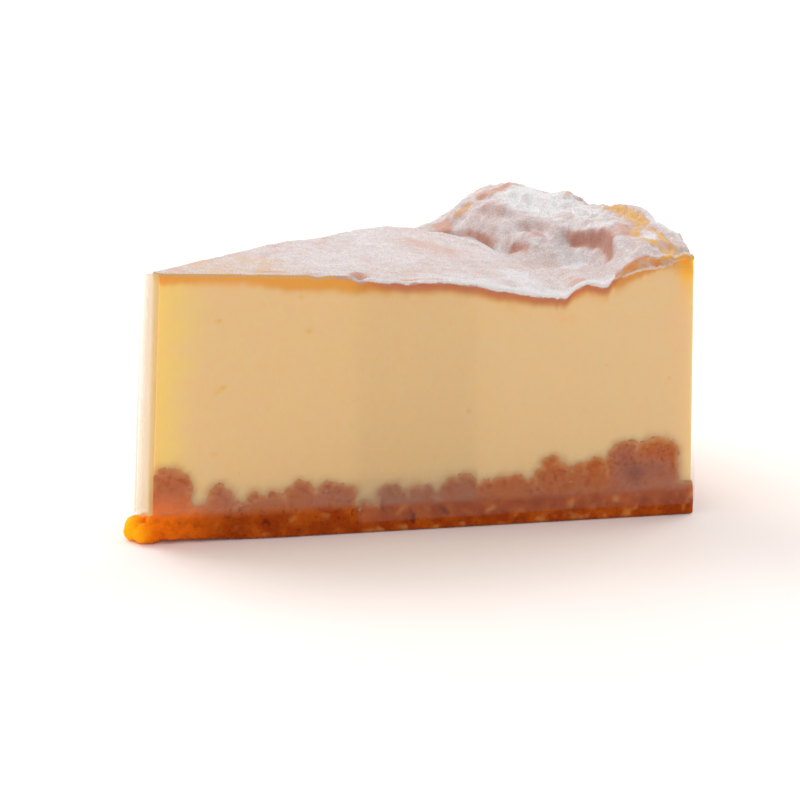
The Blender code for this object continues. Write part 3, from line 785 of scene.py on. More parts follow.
@dataclass(frozen=True)
class CheeseFinish:
    """The cut filling: dense, pale and moist, browned just under its skin, with painted glow where
    backlight shines through its tip and rim corner, painted light on its lit tip side and in the
    blister, and painted shade under the blister's arch.
    """

    cream: Colour = (0.84, 0.58, 0.25)
    pale: Colour = (0.81, 0.64, 0.37)
    ochre: Colour = (0.77, 0.38, 0.045)
    russet: Colour = (0.60, 0.22, 0.10)
    speck: Colour = (0.80, 0.46, 0.08)
    smear: Colour = (0.60, 0.25, 0.09)
    tan: Colour = (0.72, 0.38, 0.13)
    # Colours of painted glow and painted light: the backlit tip, the backlit rim corner, the lit tip side and
    # the blister's paler inside
    painted_tip_glow: Colour = (0.84, 0.71, 0.20)
    painted_corner_glow: Colour = (0.93, 0.54, 0.02)
    lit: Colour = (0.93, 0.72, 0.45)
    sugar: Colour = (0.78, 0.76, 0.76)

    def made(self) -> bpy.types.Material:
        """The material, which reads the attributes that the filling notes for it."""
        nodes = Nodes("cut_cheese")
        grain = nodes.noise(1.4, 3.0, 0.6)
        body = nodes.mix(nodes.span(grain, 0.25, 0.85, 0.2, 0.6), self.cream, self.pale)
        tone = nodes.attribute("tone")
        body = nodes.mix(nodes.span(tone, 0.0, 1.0, 0.0, 0.6), body, self.pale)
        body = nodes.mix(nodes.span(nodes.times(tone, -1.0), 0.0, 1.0, 0.0, 0.8), body, self.speck)
        flecks = nodes.cells(5.2)
        fleck = nodes.span(flecks.outputs["Distance"], 0.05, 0.13, 1.0, 0.0)
        chosen = nodes.add("SeparateColor", Color=flecks.outputs["Color"]).outputs[0]
        fleck = nodes.times(fleck, nodes.span(chosen, 0.72, 0.78, 0.0, 0.35))
        body = nodes.mix(fleck, body, self.speck)
        body = nodes.mix(nodes.times(nodes.attribute("baked"), 0.75), body, self.tan)
        # painted glow of backlight shining through the thin tip
        body = nodes.over(body, "painted_tip_glow", self.painted_tip_glow)
        # painted glow of backlight shining through the rim corner
        body = nodes.mix(nodes.attribute("painted_corner_glow"), body, self.painted_corner_glow)
        # painted light on the lit tip side and on the blister's inside
        body = nodes.over(body, "lit", self.lit)
        # browned smudges below the band, and painted shade under the blister's arch
        body = nodes.over(body, "smudge_and_arch_shade", self.ochre, 0.6)
        band = nodes.mix(nodes.attribute("russet"), self.ochre, self.russet)
        body = nodes.over(body, "band", band, 0.95)
        body = nodes.mix(nodes.attribute("smear"), body, self.smear)
        body = nodes.mix(nodes.span(nodes.attribute("sugar"), 0.1, 0.8, 0.0, 0.9), body, self.sugar)
        nodes.bump(nodes.plus(nodes.noise(0.5, 3.0), nodes.noise(2.4, 1.0)), 0.10, 0.4)
        return nodes.finish(
            body,
            Roughness=0.42,
            Specular_IOR_Level=0.4,
            Subsurface_Weight=0.75,
            Subsurface_Radius=(1.0, 0.62, 0.28),
            Subsurface_Scale=3.2 * MM,
        )


@dataclass(frozen=True)
class CrumbFinish:
    """Pressed crumble: orange-brown and finely grained, with pale bits, a few dark pits whose dark is
    painted shade of holes, and painted glow where backlight shines through it at the tip.
    """

    hole_shade: Colour = (0.15, 0.016, 0.001)
    brown: Colour = (0.33, 0.046, 0.001)
    orange: Colour = (0.48, 0.095, 0.004)
    pale: Colour = (0.72, 0.32, 0.09)
    lump: Colour = (0.50, 0.14, 0.034)
    rosy: Colour = (0.45, 0.16, 0.090)
    sunny: Colour = (0.84, 0.42, 0.20)
    dusky: Colour = (0.20, 0.080, 0.065)
    smear: Colour = (0.80, 0.53, 0.23)
    lit: Colour = (0.98, 0.20, 0.002)
    painted_tip_blaze: Colour = (1.0, 0.46, 0.002)

    def made(self) -> bpy.types.Material:
        """The material, which reads the attributes that the base notes for it."""
        nodes = Nodes("crumble")
        grain = nodes.noise(0.7, 3.0, 0.6)
        colour = nodes.mix(nodes.span(nodes.noise(3.0, 2.0), 0.35, 0.7), self.brown, self.orange)
        # painted shade of the small holes between its grains
        colour = nodes.mix(nodes.span(grain, 0.25, 0.45, 0.7, 0.0), colour, self.hole_shade)
        patches = nodes.plus(nodes.noise(2.1, 1.2), nodes.times(nodes.attribute("low"), 0.07))
        colour = nodes.mix(nodes.span(patches, 0.58, 0.84, 0.0, 0.5), colour, self.pale)
        # painted shade of a few deeper holes
        colour = nodes.mix(nodes.span(patches, 0.27, 0.36, 0.8, 0.0), colour, self.hole_shade)
        tint = nodes.mix(nodes.attribute("rosy"), self.lump, self.rosy)
        tint = nodes.mix(nodes.attribute("sunny"), tint, self.sunny)
        tint = nodes.mix(nodes.attribute("dusky"), tint, self.dusky)
        # painted shade of holes in the lumps' grain
        tint = nodes.mix(nodes.span(grain, 0.30, 0.50, 0.45, 0.0), tint, self.hole_shade)
        tint = nodes.mix(nodes.span(nodes.noise(1.6, 1.0), 0.55, 0.75, 0.0, 0.5), tint, self.orange)
        colour = nodes.mix(nodes.attribute("lump"), colour, tint)
        colour = nodes.mix(nodes.attribute("bare"), self.smear, colour)
        spread = nodes.span(nodes.noise(1.3, 3.0, 0.6), 0.25, 0.65, 0.5, 0.95)
        # painted glow of backlight shining through the crumble near the tip
        colour = nodes.mix(nodes.times(nodes.attribute("lit"), spread), colour, self.lit)
        # brighter painted glow at the very tip
        colour = nodes.mix(nodes.attribute("painted_tip_blaze"), colour, self.painted_tip_blaze)
        nodes.bump(grain, 0.35, 0.8)
        return nodes.finish(
            colour,
            Roughness=0.75,
            Specular_IOR_Level=0.10,
            Subsurface_Weight=0.10,
            Subsurface_Radius=(1.0, 0.35, 0.1),
            Subsurface_Scale=1.2 * MM,
            # the painted glow is also emitted
            Emission_Color=nodes.mix(nodes.attribute("painted_tip_blaze"), (0.0, 0.0, 0.0), self.lit),
            Emission_Strength=0.22,
        )


@dataclass(frozen=True)
class FilmFinish:
    """Clear film: where it clings it is hazed by the cake's fat, elsewhere it is clean."""

    name: str
    haze: float
    colour: Colour = (0.58, 0.46, 0.38)
    roughness: float = 0.12
    gloss: float = 0.5

    def made(self) -> bpy.types.Material:
        """The material, a lone shader with a plain alpha."""
        nodes = Nodes(self.name)
        return nodes.finish(
            self.colour, Alpha=self.haze, Roughness=self.roughness, IOR=1.45, Specular_IOR_Level=self.gloss
        )


@dataclass(frozen=True)
class SugarFinish:
    """Loose grains of icing sugar."""

    colour: Colour = (0.84, 0.84, 0.86)

    def made(self) -> bpy.types.Material:
        """The material."""
        nodes = Nodes("icing_sugar")
        shade = nodes.mix(nodes.noise(0.5), self.colour, (0.92, 0.92, 0.93))
        return nodes.finish(shade, Roughness=0.8, Subsurface_Weight=0.2, Subsurface_Scale=0.4 * MM)


@dataclass(frozen=True)
class TableFinish:
    """The plain pale table."""

    colour: Colour = (0.94, 0.90, 0.885)

    def made(self) -> bpy.types.Material:
        """The material."""
        nodes = Nodes("pale_table")
        shade = nodes.mix(nodes.span(nodes.noise(60.0), 0.3, 0.7, 0.0, 0.4), self.colour, (0.93, 0.90, 0.89))
        return nodes.finish(
            shade,
            Roughness=0.6,
            Specular_IOR_Level=0.1,
            Emission_Color=(1.0, 0.99, 0.98),
            Emission_Strength=0.02,
        )


def start_afresh() -> None:
    """Deselects everything, so that an operator acts on the next new piece alone."""
    if bpy.context.object and bpy.context.object.mode != "OBJECT":
        bpy.ops.object.mode_set(mode="OBJECT")
    bpy.ops.object.select_all(action="DESELECT")


def corners_of(piece: bpy.types.Object) -> np.ndarray:
    """The corners of a mesh, one row each."""
    found = np.empty(len(piece.data.vertices) * 3)
    piece.data.vertices.foreach_get("co", found)
    return found.reshape(-1, 3)


def normals_of(piece: bpy.types.Object) -> np.ndarray:
    """The normals at the corners of a mesh, one row each."""
    found = np.empty(len(piece.data.vertices) * 3)
    piece.data.vertex_normals.foreach_get("vector", found)
    return found.reshape(-1, 3)


def move_corners(piece: bpy.types.Object, places: np.ndarray) -> None:
    """Moves the corners of a mesh to places in metres."""
    piece.data.vertices.foreach_set("co", np.asarray(places, np.float32).ravel())
    piece.data.update()


def note(piece: bpy.types.Object, name: str, values: np.ndarray) -> None:
    """Stores one number for each corner, which a finish reads by its name."""
    layer = piece.data.attributes.new(name, "FLOAT", "POINT")
    layer.data.foreach_set("value", np.asarray(values, np.float32))


def settle(piece: bpy.types.Object, slot: Slot, *nodes: str) -> None:
    """Rides a finished piece on the slice and hides the solids that it stands for."""
    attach(piece, "root")
    if nodes:
        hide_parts(*nodes)
    LOG.info("%s: %d corners, %d faces", piece.name, len(piece.data.vertices), len(piece.data.polygons))


def flat_grid(name: str, rows: int, columns: int) -> bpy.types.Object:
    """A flat mesh of a metre square, from the origin along X and Y, in rows and columns."""
    start_afresh()
    bpy.ops.mesh.primitive_grid_add(
        x_subdivisions=rows, y_subdivisions=columns, size=1.0, location=(0.5, 0.5, 0.0)
    )
    grid = bpy.context.object
    grid.name = grid.data.name = name
    bpy.ops.object.transform_apply(location=True, rotation=True, scale=True)
    return grid


@dataclass
class SquareBlock:
    """A block modelled flat and square, whose corners then know their row, column and drop."""

    name: str
    rows: int
    columns: int
    drops: int

    def built(self) -> tuple[bpy.types.Object, np.ndarray]:
        """Models the block.

        Returns:
            The block, and one row of whole numbers a corner: its row, column and drop.
        """
        block = flat_grid(self.name, self.rows, self.columns)
        bpy.ops.object.mode_set(mode="EDIT")
        bpy.ops.mesh.select_mode(type="EDGE")
        bpy.ops.mesh.select_all(action="SELECT")
        bpy.ops.mesh.region_to_loop()
        bpy.ops.mesh.extrude_edges_move(TRANSFORM_OT_translate={"value": (0, 0, -1)})
        bpy.ops.mesh.edge_face_add()
        bpy.ops.mesh.select_all(action="DESELECT")
        bpy.ops.object.mode_set(mode="OBJECT")
        heights = corners_of(block)[:, 2]
        ends = np.empty(len(block.data.edges) * 2, int)
        block.data.edges.foreach_get("vertices", ends)
        ends = ends.reshape(-1, 2)
        upright = np.abs(heights[ends[:, 0]] - heights[ends[:, 1]]) > 0.5
        block.data.edges.foreach_set("select", upright)
        bpy.ops.object.mode_set(mode="EDIT")
        bpy.ops.mesh.subdivide(number_cuts=self.drops - 1)
        bpy.ops.mesh.select_all(action="SELECT")
        bpy.ops.mesh.normals_make_consistent(inside=False)
        bpy.ops.object.mode_set(mode="OBJECT")
        steps = corners_of(block) * (self.rows, self.columns, -self.drops)
        return block, np.rint(steps).astype(int)


@dataclass(frozen=True)
class Corners:
    """Where the filling's corners lie, one value for each.

    run is the share of the radius and across that of the way across, depth how far a corner lies
    under the skin's edge and z its height, both in mm, and side the code of its side.
    """

    run: np.ndarray
    across: np.ndarray
    depth: np.ndarray
    z: np.ndarray
    side: np.ndarray

    @property
    def ahead(self) -> np.ndarray:
        """How far each lies from the apex, in mm."""
        return self.run * PLAN.radius

    def on(self, side: Side) -> np.ndarray:
        """Which of them lie on a side."""
        return self.side == side.value


class Filling:
    """The baked filling, one closed piece: its skin, its cut faces and the side at the rim."""

    FINE_ROWS, COARSE_ROWS, FINE_START = 95, 125, 0.74
    COLUMNS = 150
    LIP_DROPS, DROPS, LIP_DEPTH, LIP_CLOSER = 16, 64, 3.0, 1.15
    FOOT, RIM_SPARE, SHIFT_DEPTH = 3.6, 0.3, 0.8

    # The crust's edge curls out over the front cut from here to there, as shares of the radius
    LIP_START, LIP_FULL, LIP_END = 0.34, 0.42, 0.94
    LIP_OUT, LIP_LEAST = 0.46, 0.12
    LIP_WAVES = ((0.50, 0.6, 11.0), (0.60, 1.5, 13.0))
    LIP_THICK, LIP_KNOBS = 1.45, ((0.45, 1.0, 17.0),)
    # Depth and half size of its curl and of the tuck under it, in mm
    CURL, TUCK, TUCKED = (0.22, 0.22), (0.85, 0.4), 0.45

    # The blister under the crust: share of radius, half length, roof and floor depths, in mm
    BLISTER_SHARE, BLISTER_HALF, BLISTER_ROOF, BLISTER_FLOOR = 0.914, 5.2, 0.25, 2.0
    BLISTER_DEEP = 0.9

    # The grain of the cuts, how far the tip is crushed, and the paper's ripples on the rim
    CUT_GRAIN, CUT_DRAG, DRAGGED = ((0.035, 0.5, 0.0),), ((0.02, 1.4, 7.0),), (1, 1, 0.3)
    CRUSHED, CRUSHED_RUN = 0.30, 1.7
    PAPER, PAPER_LONG, RIM_GRAIN = ((0.16, 0.55, 3.0),), 0.12, ((0.03, 1.2, 0.0),)

    # How ragged the band under the skin is and how blotchy the cheese
    RAGGED, BLOTCH, BLOTCH_ACROSS = ((1.0, 0.8, 17.0), (0.5, 2.2, 19.0)), (0.28, 23.0), 60
    # Where the band grows, turns russet and thins again, as shares of the radius, and its depths
    BAND_GROWS, BAND_RUSSET, BAND_THINS = (0.17, 0.26), (0.36, 0.46), (0.87, 0.94)
    BAND_FULL, BAND_SOFT = 0.35, 2.4

    # Pale discs and orange specks on the front cut: distance from the apex, height, half size, tone
    MARKS = (
        (46.0, 34.2, 1.9, 0.5),
        (46.2, 26.5, 1.5, 0.4),
        (55.2, 31.3, 1.4, 0.45),
        (64.5, 32.6, 1.3, 0.35),
        (11.8, 37.2, 1.0, -1.0),
        (26.6, 34.8, 0.9, -0.9),
        (12.8, 26.2, 1.0, -1.0),
        (11.8, 25.0, 1.0, -1.0),
        (31.8, 19.4, 0.8, -0.8),
        (34.2, 18.2, 0.8, -0.8),
        (11.6, 15.0, 1.0, -0.6),
        (22.4, 19.0, 0.7, -0.5),
        (51.0, 38.2, 1.6, -0.6),
        (54.4, 37.2, 1.2, -0.5),
        (60.0, 37.0, 2.4, -0.8),
        (69.0, 34.6, 2.6, -0.7),
        (75.0, 34.8, 2.0, -0.4),
        (76.0, 30.5, 0.9, -0.5),
        (80.5, 26.5, 0.8, -0.5),
        (69.0, 20.0, 0.8, -0.4),
    )

    def __init__(self, top: BakedTop, lumps: "LumpsAlongCuts") -> None:
        """Remembers the top that it wears and the lumps that stain it."""
        self.top = top
        self.lumps = lumps

    def _row_shares(self) -> np.ndarray:
        """Shares of the radius of the rows, closer together where the rim is puffed."""
        coarse = np.linspace(0.0, self.FINE_START, self.COARSE_ROWS, endpoint=False)
        return np.concatenate([coarse, np.linspace(self.FINE_START, 1.0, self.FINE_ROWS + 1)])

    def build(self) -> bpy.types.Object:
        """Models, shapes and dresses the filling."""
        rows = self.FINE_ROWS + self.COARSE_ROWS
        block, steps = SquareBlock("baked_filling", rows, self.COLUMNS, self.DROPS).built()
        row, column, drop = steps.T
        share = self._row_shares()[row]
        across = column / self.COLUMNS
        turned = (across - 0.5) * PLAN.angle
        near = PLAN.blunt / np.cos(turned)
        reach = near + (PLAN.radius + self.RIM_SPARE - near) * share
        x = PLAN.apex_x + reach * np.cos(turned)
        y = reach * np.sin(turned)
        run = reach / PLAN.radius
        skin = self.top.shaped(x, y)
        depth, z = self._depths(drop, skin.height)
        at = Corners(run, across, depth, z, self._sides(row, column))
        shift = PLAN.leaned(run, across, z) + skin.shift * np.exp(-depth / self.SHIFT_DEPTH)[:, None]
        places = np.column_stack([self._held_in(np.stack([x, y], axis=1) + shift, at), z])
        move_corners(block, places * MM)
        self._note_all(block, places, skin, at)
        self._dress(block.data, drop, at)
        settle(block, Slot.CHEESE, "cheese_filling")
        return block

    def _sides(self, row: np.ndarray, column: np.ndarray) -> np.ndarray:
        """The code of the side that each corner lies on."""
        return np.select(
            [column == 0, column == self.COLUMNS, row == row.max(), row == 0],
            [Side.FRONT.value, Side.BACK.value, Side.RIM.value, Side.TIP.value],
            Side.TOP.value,
        )

    def _depths(self, drop: np.ndarray, height: np.ndarray) -> tuple[np.ndarray, np.ndarray]:
        """How deep each corner lies under the skin's edge, and its height."""
        lip = self.LIP_DEPTH * np.minimum(drop / self.LIP_DROPS, 1.0) ** self.LIP_CLOSER
        rest = np.maximum(drop - self.LIP_DROPS, 0) / (self.DROPS - self.LIP_DROPS)
        depth = lip + (height - self.LIP_DEPTH - self.FOOT) * rest
        return depth, height - depth

    def _held_in(self, plan: np.ndarray, at: Corners) -> np.ndarray:
        """Keeps the cuts flat: an overhang may lean over another roll, but not over a cut.

        Args:
            plan: Plan positions with the folds' shifts.
            at: Where the corners lie.

        Returns:
            The plan positions on their planes, with what stands out of them or is sunk into them.
        """
        held = plan.copy()
        for side, way, lip in ((Side.FRONT, -1, 1.0), (Side.BACK, 1, 0.8)):
            on, normal = at.on(side), PLAN.cut_normal(way)
            run, depth, z, ahead = at.run[on], at.depth[on], at.z[on], at.ahead[on]
            off = (plan[on] - PLAN.apex) @ normal - PLAN.lean_off(z)
            flat = np.column_stack([ahead, np.full(len(z), way * 50.0), z])
            proud = layered(flat, self.CUT_GRAIN) + layered(flat * self.DRAGGED, self.CUT_DRAG)
            proud += self._lip(run, depth, flat) * lip
            if side is Side.FRONT:
                proud -= self._blister(run, depth)
            # the tip's edge is crushed round
            proud -= self.CRUSHED * (1 - np.clip((ahead - PLAN.blunt) / self.CRUSHED_RUN, 0.0, 1.0)) ** 2
            held[on] += (proud - off)[:, None] * normal
        rim = at.on(Side.RIM)
        spoke = plan[rim] - PLAN.apex
        spoke /= np.hypot(*spoke.T)[:, None]
        turned, z = (at.across[rim] - 0.5) * PLAN.angle * PLAN.radius, at.z[rim]
        paper = layered(np.column_stack([turned, np.zeros_like(z), z * self.PAPER_LONG]), self.PAPER)
        grain = layered(np.column_stack([turned, np.zeros_like(z), z]), self.RIM_GRAIN)
        held[rim] += spoke * (paper + grain)[:, None]
        return held

    def _lip(self, run: np.ndarray, depth: np.ndarray, flat: np.ndarray) -> np.ndarray:
        """How far the crust's thin edge curls out over a cut."""
        along = flat * (1, 1, 0)
        depth = depth / (self.LIP_THICK + layered(along, self.LIP_KNOBS))
        curl = peak(depth, *self.CURL) - self.TUCKED * peak(depth, *self.TUCK)
        amount = self.LIP_LEAST + smooth_step(self.LIP_START, self.LIP_FULL, run)
        return self.LIP_OUT * curl * amount * (1.0 + layered(along, self.LIP_WAVES))

    def _blister(self, run: np.ndarray, depth: np.ndarray) -> np.ndarray:
        """How deep the blister under the crust goes in."""
        arch = self._opened(run)
        middle = (self.BLISTER_ROOF + self.BLISTER_FLOOR) / 2
        half = (self.BLISTER_FLOOR - self.BLISTER_ROOF) / 2 * arch + 1e-6
        inside = np.clip(1 - ((depth - middle) / half) ** 2, 0.0, 1.0) ** 0.5
        return self.BLISTER_DEEP * arch * inside

    def _pocket(self, at: Corners) -> np.ndarray:
        """How deep in the blister corners lie, from 0 to 1 at its deepest."""
        return self._blister(at.run, at.depth) / self.BLISTER_DEEP * at.on(Side.FRONT)

    def _note_all(self, block: bpy.types.Object, places: np.ndarray, skin: Skin, at: Corners) -> None:
        """Stores what the two finishes read.

        Args:
            block: The filling.
            places: Its corners in mm.
            skin: The skin over each corner.
            at: Where the corners lie.
        """
        on_top, nothing = at.on(Side.TOP), np.zeros_like(at.z)
        ragged = layered(np.column_stack([at.ahead, nothing, nothing]), self.RAGGED)
        blotch = noise_at(np.column_stack([at.ahead, at.across * self.BLOTCH_ACROSS, at.z]), *self.BLOTCH)
        up = np.where(on_top, normals_of(block)[:, 2], 0.8)
        edge = self._edge_sugar(at, ragged)
        note(block, "sugar", np.where(on_top, self.top.sugar(places, up, skin), edge))
        thin_edge = np.where((at.run < self.LIP_START) | (at.run > self.LIP_END), 0.0, 0.45)
        note(block, "browned", np.where(at.on(Side.FRONT), thin_edge, self.top.browned(places, up, skin)))
        self._note_band(block, at, ragged, blotch)
        self._note_body(block, places, at, blotch)

    def _edge_sugar(self, at: Corners, ragged: np.ndarray) -> np.ndarray:
        """The sugar on the skin's thin edge, an uneven white lip.

        Args:
            at: Where the corners lie.
            ragged: How ragged the edge is at each.

        Returns:
            The amounts. Over the blister the lip stands on the pocket's floor instead.
        """
        opened = self._opened(at.run) * at.on(Side.FRONT)
        lip = smooth_step(self.LIP_START, self.LIP_FULL, at.run) * (opened < 0.15)
        edge = fade(0.22, 0.62, at.depth + 0.40 * ragged - 0.15 * smooth_step(0.5, 0.75, at.run) * lip)
        low_lip = self.BLISTER_FLOOR * opened + 0.30 + 0.12 * ragged
        streaked = noise_at(np.column_stack([at.ahead, at.across, 2.2 * at.depth]), 0.8, 71.0)
        streaks = 0.6 * smooth_step(0.0, 0.45, streaked) * (at.depth < low_lip)
        floor = np.maximum(0.70 * peak(at.depth, low_lip, 0.25), streaks)
        edge *= (0.10 + 0.85 * lip) * fade(self.LIP_END, self.LIP_END + 0.02, at.run)
        return np.where(opened > 0.1, floor, edge) * np.where(at.on(Side.RIM), 0.25, 1.0)

    def _note_band(
        self, block: bpy.types.Object, at: Corners, ragged: np.ndarray, blotch: np.ndarray
    ) -> None:
        """Stores the browned band under the skin, how russet it is, the smudges below it, and painted
        shade under the blister's arch.

        Args:
            block: The filling.
            at: Where the corners lie.
            ragged: How ragged the band is at each.
            blotch: How blotchy the cheese is at each.
        """
        run, depth, pocket = at.run, at.depth, self._pocket(at)
        opened = self._opened(run) * at.on(Side.FRONT)
        under = depth * np.where(at.on(Side.RIM), 0.45, 1.0) + 0.25 * ragged + 0.5 * blotch
        under = np.maximum(under - self.BLISTER_FLOOR * opened, 0.0)
        turned_russet, thinned = smooth_step(*self.BAND_RUSSET, run), smooth_step(*self.BAND_THINS, run)
        full = self.BAND_FULL + smooth_step(*self.BAND_GROWS, run) - 0.45 * turned_russet - 0.7 * thinned
        band = fade(full, full + self.BAND_SOFT - 1.6 * thinned, under)
        note(block, "band", band * fade(0.05, 0.3, pocket))
        # painted shade under the blister's arch, on its roof
        roof = fade(0.5, 0.9, depth) * smooth_step(0.0, 0.15, pocket)
        warm = fade(1.0, 4.4, under) * smooth_step(-0.1, 0.35, blotch)
        warm += 0.5 * fade(1.5, 5.0, depth) * smooth_step(0.80, 0.92, run)
        note(block, "smudge_and_arch_shade", np.clip(np.maximum(warm, 1.4 * roof), 0.0, 1.0))
        russet = turned_russet * (1 - 0.4 * smooth_step(0.84, 0.9, run))
        note(block, "russet", russet * (1 - 0.6 * smooth_step(0.8, 2.6, depth)))

    def _note_body(
        self, block: bpy.types.Object, places: np.ndarray, at: Corners, blotch: np.ndarray
    ) -> None:
        """Stores the cheese's tone with its marks, its smears, where it is baked, and the painted glow
        and painted light of its backlit tip, its rim corner and the blister's inside.

        Args:
            block: The filling.
            places: Its corners in mm.
            at: Where the corners lie.
            blotch: How blotchy the cheese is at each.
        """
        ahead, z, depth, on_front = at.ahead, at.z, at.depth, at.on(Side.FRONT)
        tone = 0.50 * smooth_step(25.0, 75.0, ahead) + 0.12 * blotch
        for mark_run, mark_z, half, amount in self.MARKS:
            gap = np.hypot(ahead - mark_run, (z - mark_z) * (1.0 if amount > 0 else 1.9)) / half
            tone += amount * fade(0.0, 1.2, gap + 0.4 * blotch) * on_front
        note(block, "tone", np.clip(tone, -1.0, 1.0))
        smear = np.zeros_like(z)
        for side in (Side.FRONT, Side.BACK, Side.RIM):
            smear[at.on(side)] = self.lumps.stain(side, places[at.on(side)])
        note(block, "smear", smear)
        # painted glow: backlight shining through the thin tip, fading away from it
        note(block, "painted_tip_glow", 0.70 * fade(1.5, 13.0, ahead + 2.4 * blotch) * on_front)
        # painted glow: backlight shining through the rim corner, strongest near its top
        corner = smooth_step(PLAN.radius - 3.0, PLAN.radius - 1.0, ahead) * on_front
        note(block, "painted_corner_glow", corner * (0.25 * smooth_step(33.0, 40.0, z) + 0.70 * smooth_step(38.5, 42.0, z)))
        round_rim = at.across * PLAN.angle * PLAN.radius
        streak = noise_at(np.column_stack([round_rim, depth * self.PAPER_LONG, np.zeros_like(z)]), 0.5, 61.0)
        baked = 0.40 + 0.30 * streak + 0.25 * blotch + 0.5 * fade(1.0, 9.0, depth)
        baked = np.clip(baked, 0.0, 1.0) * smooth_step(0.0, 0.07, at.across)
        note(block, "baked", baked * at.on(Side.RIM))
        # painted light: on the lit tip side, and the blister's inside made paler than its shade
        inside = self._pocket(at) * smooth_step(0.5, 0.9, depth)
        note(block, "lit", 0.95 * np.maximum(inside, fade(1.4, 2.6, ahead)))

    def _opened(self, run: np.ndarray) -> np.ndarray:
        """How far the blister is open along the front cut, from 0 at its ends to 1."""
        along = (run - self.BLISTER_SHARE) * PLAN.radius / self.BLISTER_HALF
        return np.clip(1 - along**2, 0.0, 1.0) ** 0.5

    def _dress(self, mesh: bpy.types.Mesh, drop: np.ndarray, at: Corners) -> None:
        """Gives the top and its thin edge the skin's finish, and the rest the cheese's."""
        mesh.materials.clear()
        for finish in (SkinFinish(), CheeseFinish()):
            mesh.materials.append(finish.made())
        thin = np.where(at.on(Side.RIM), 5, 4)
        starts, corners = np.empty(len(mesh.polygons), int), np.empty(len(mesh.loops), int)
        mesh.polygons.foreach_get("loop_start", starts)
        mesh.loops.foreach_get("vertex_index", corners)
        deep = np.add.reduceat((drop > thin)[corners].astype(int), starts) > 0
        mesh.polygons.foreach_set("material_index", deep.astype(np.int32))
        mesh.shade_smooth()
        mesh.update()


@dataclass(frozen=True)
class Lump:
    """One lump of crumble where a cut or the rim shows it.

    run is its distance from the apex on a cut, or its distance from the middle round the rim, and
    top its height. rosy tells how far its brown leans to mauve, past 1 to a dark mauve, and below
    0 to a sunny orange.
    """

    side: Side
    run: float
    width: float
    top: float
    rosy: float


@dataclass(frozen=True)
class Crumb:
    """One rounded crumb of a lump: its place along its side and its half sizes."""

    lump: Lump
    run: float
    z: float
    half_width: float
    half_height: float

    SQUARE = 2.15

    def gap(self, along: np.ndarray, z: np.ndarray) -> np.ndarray:
        """How far places on its side lie outside it, in mm, below 0 inside."""
        out = np.abs((along - self.run) / self.half_width) ** self.SQUARE
        out += np.abs((z - self.z) / self.half_height) ** self.SQUARE
        return (out ** (1 / self.SQUARE) - 1) * min(self.half_width, self.half_height)


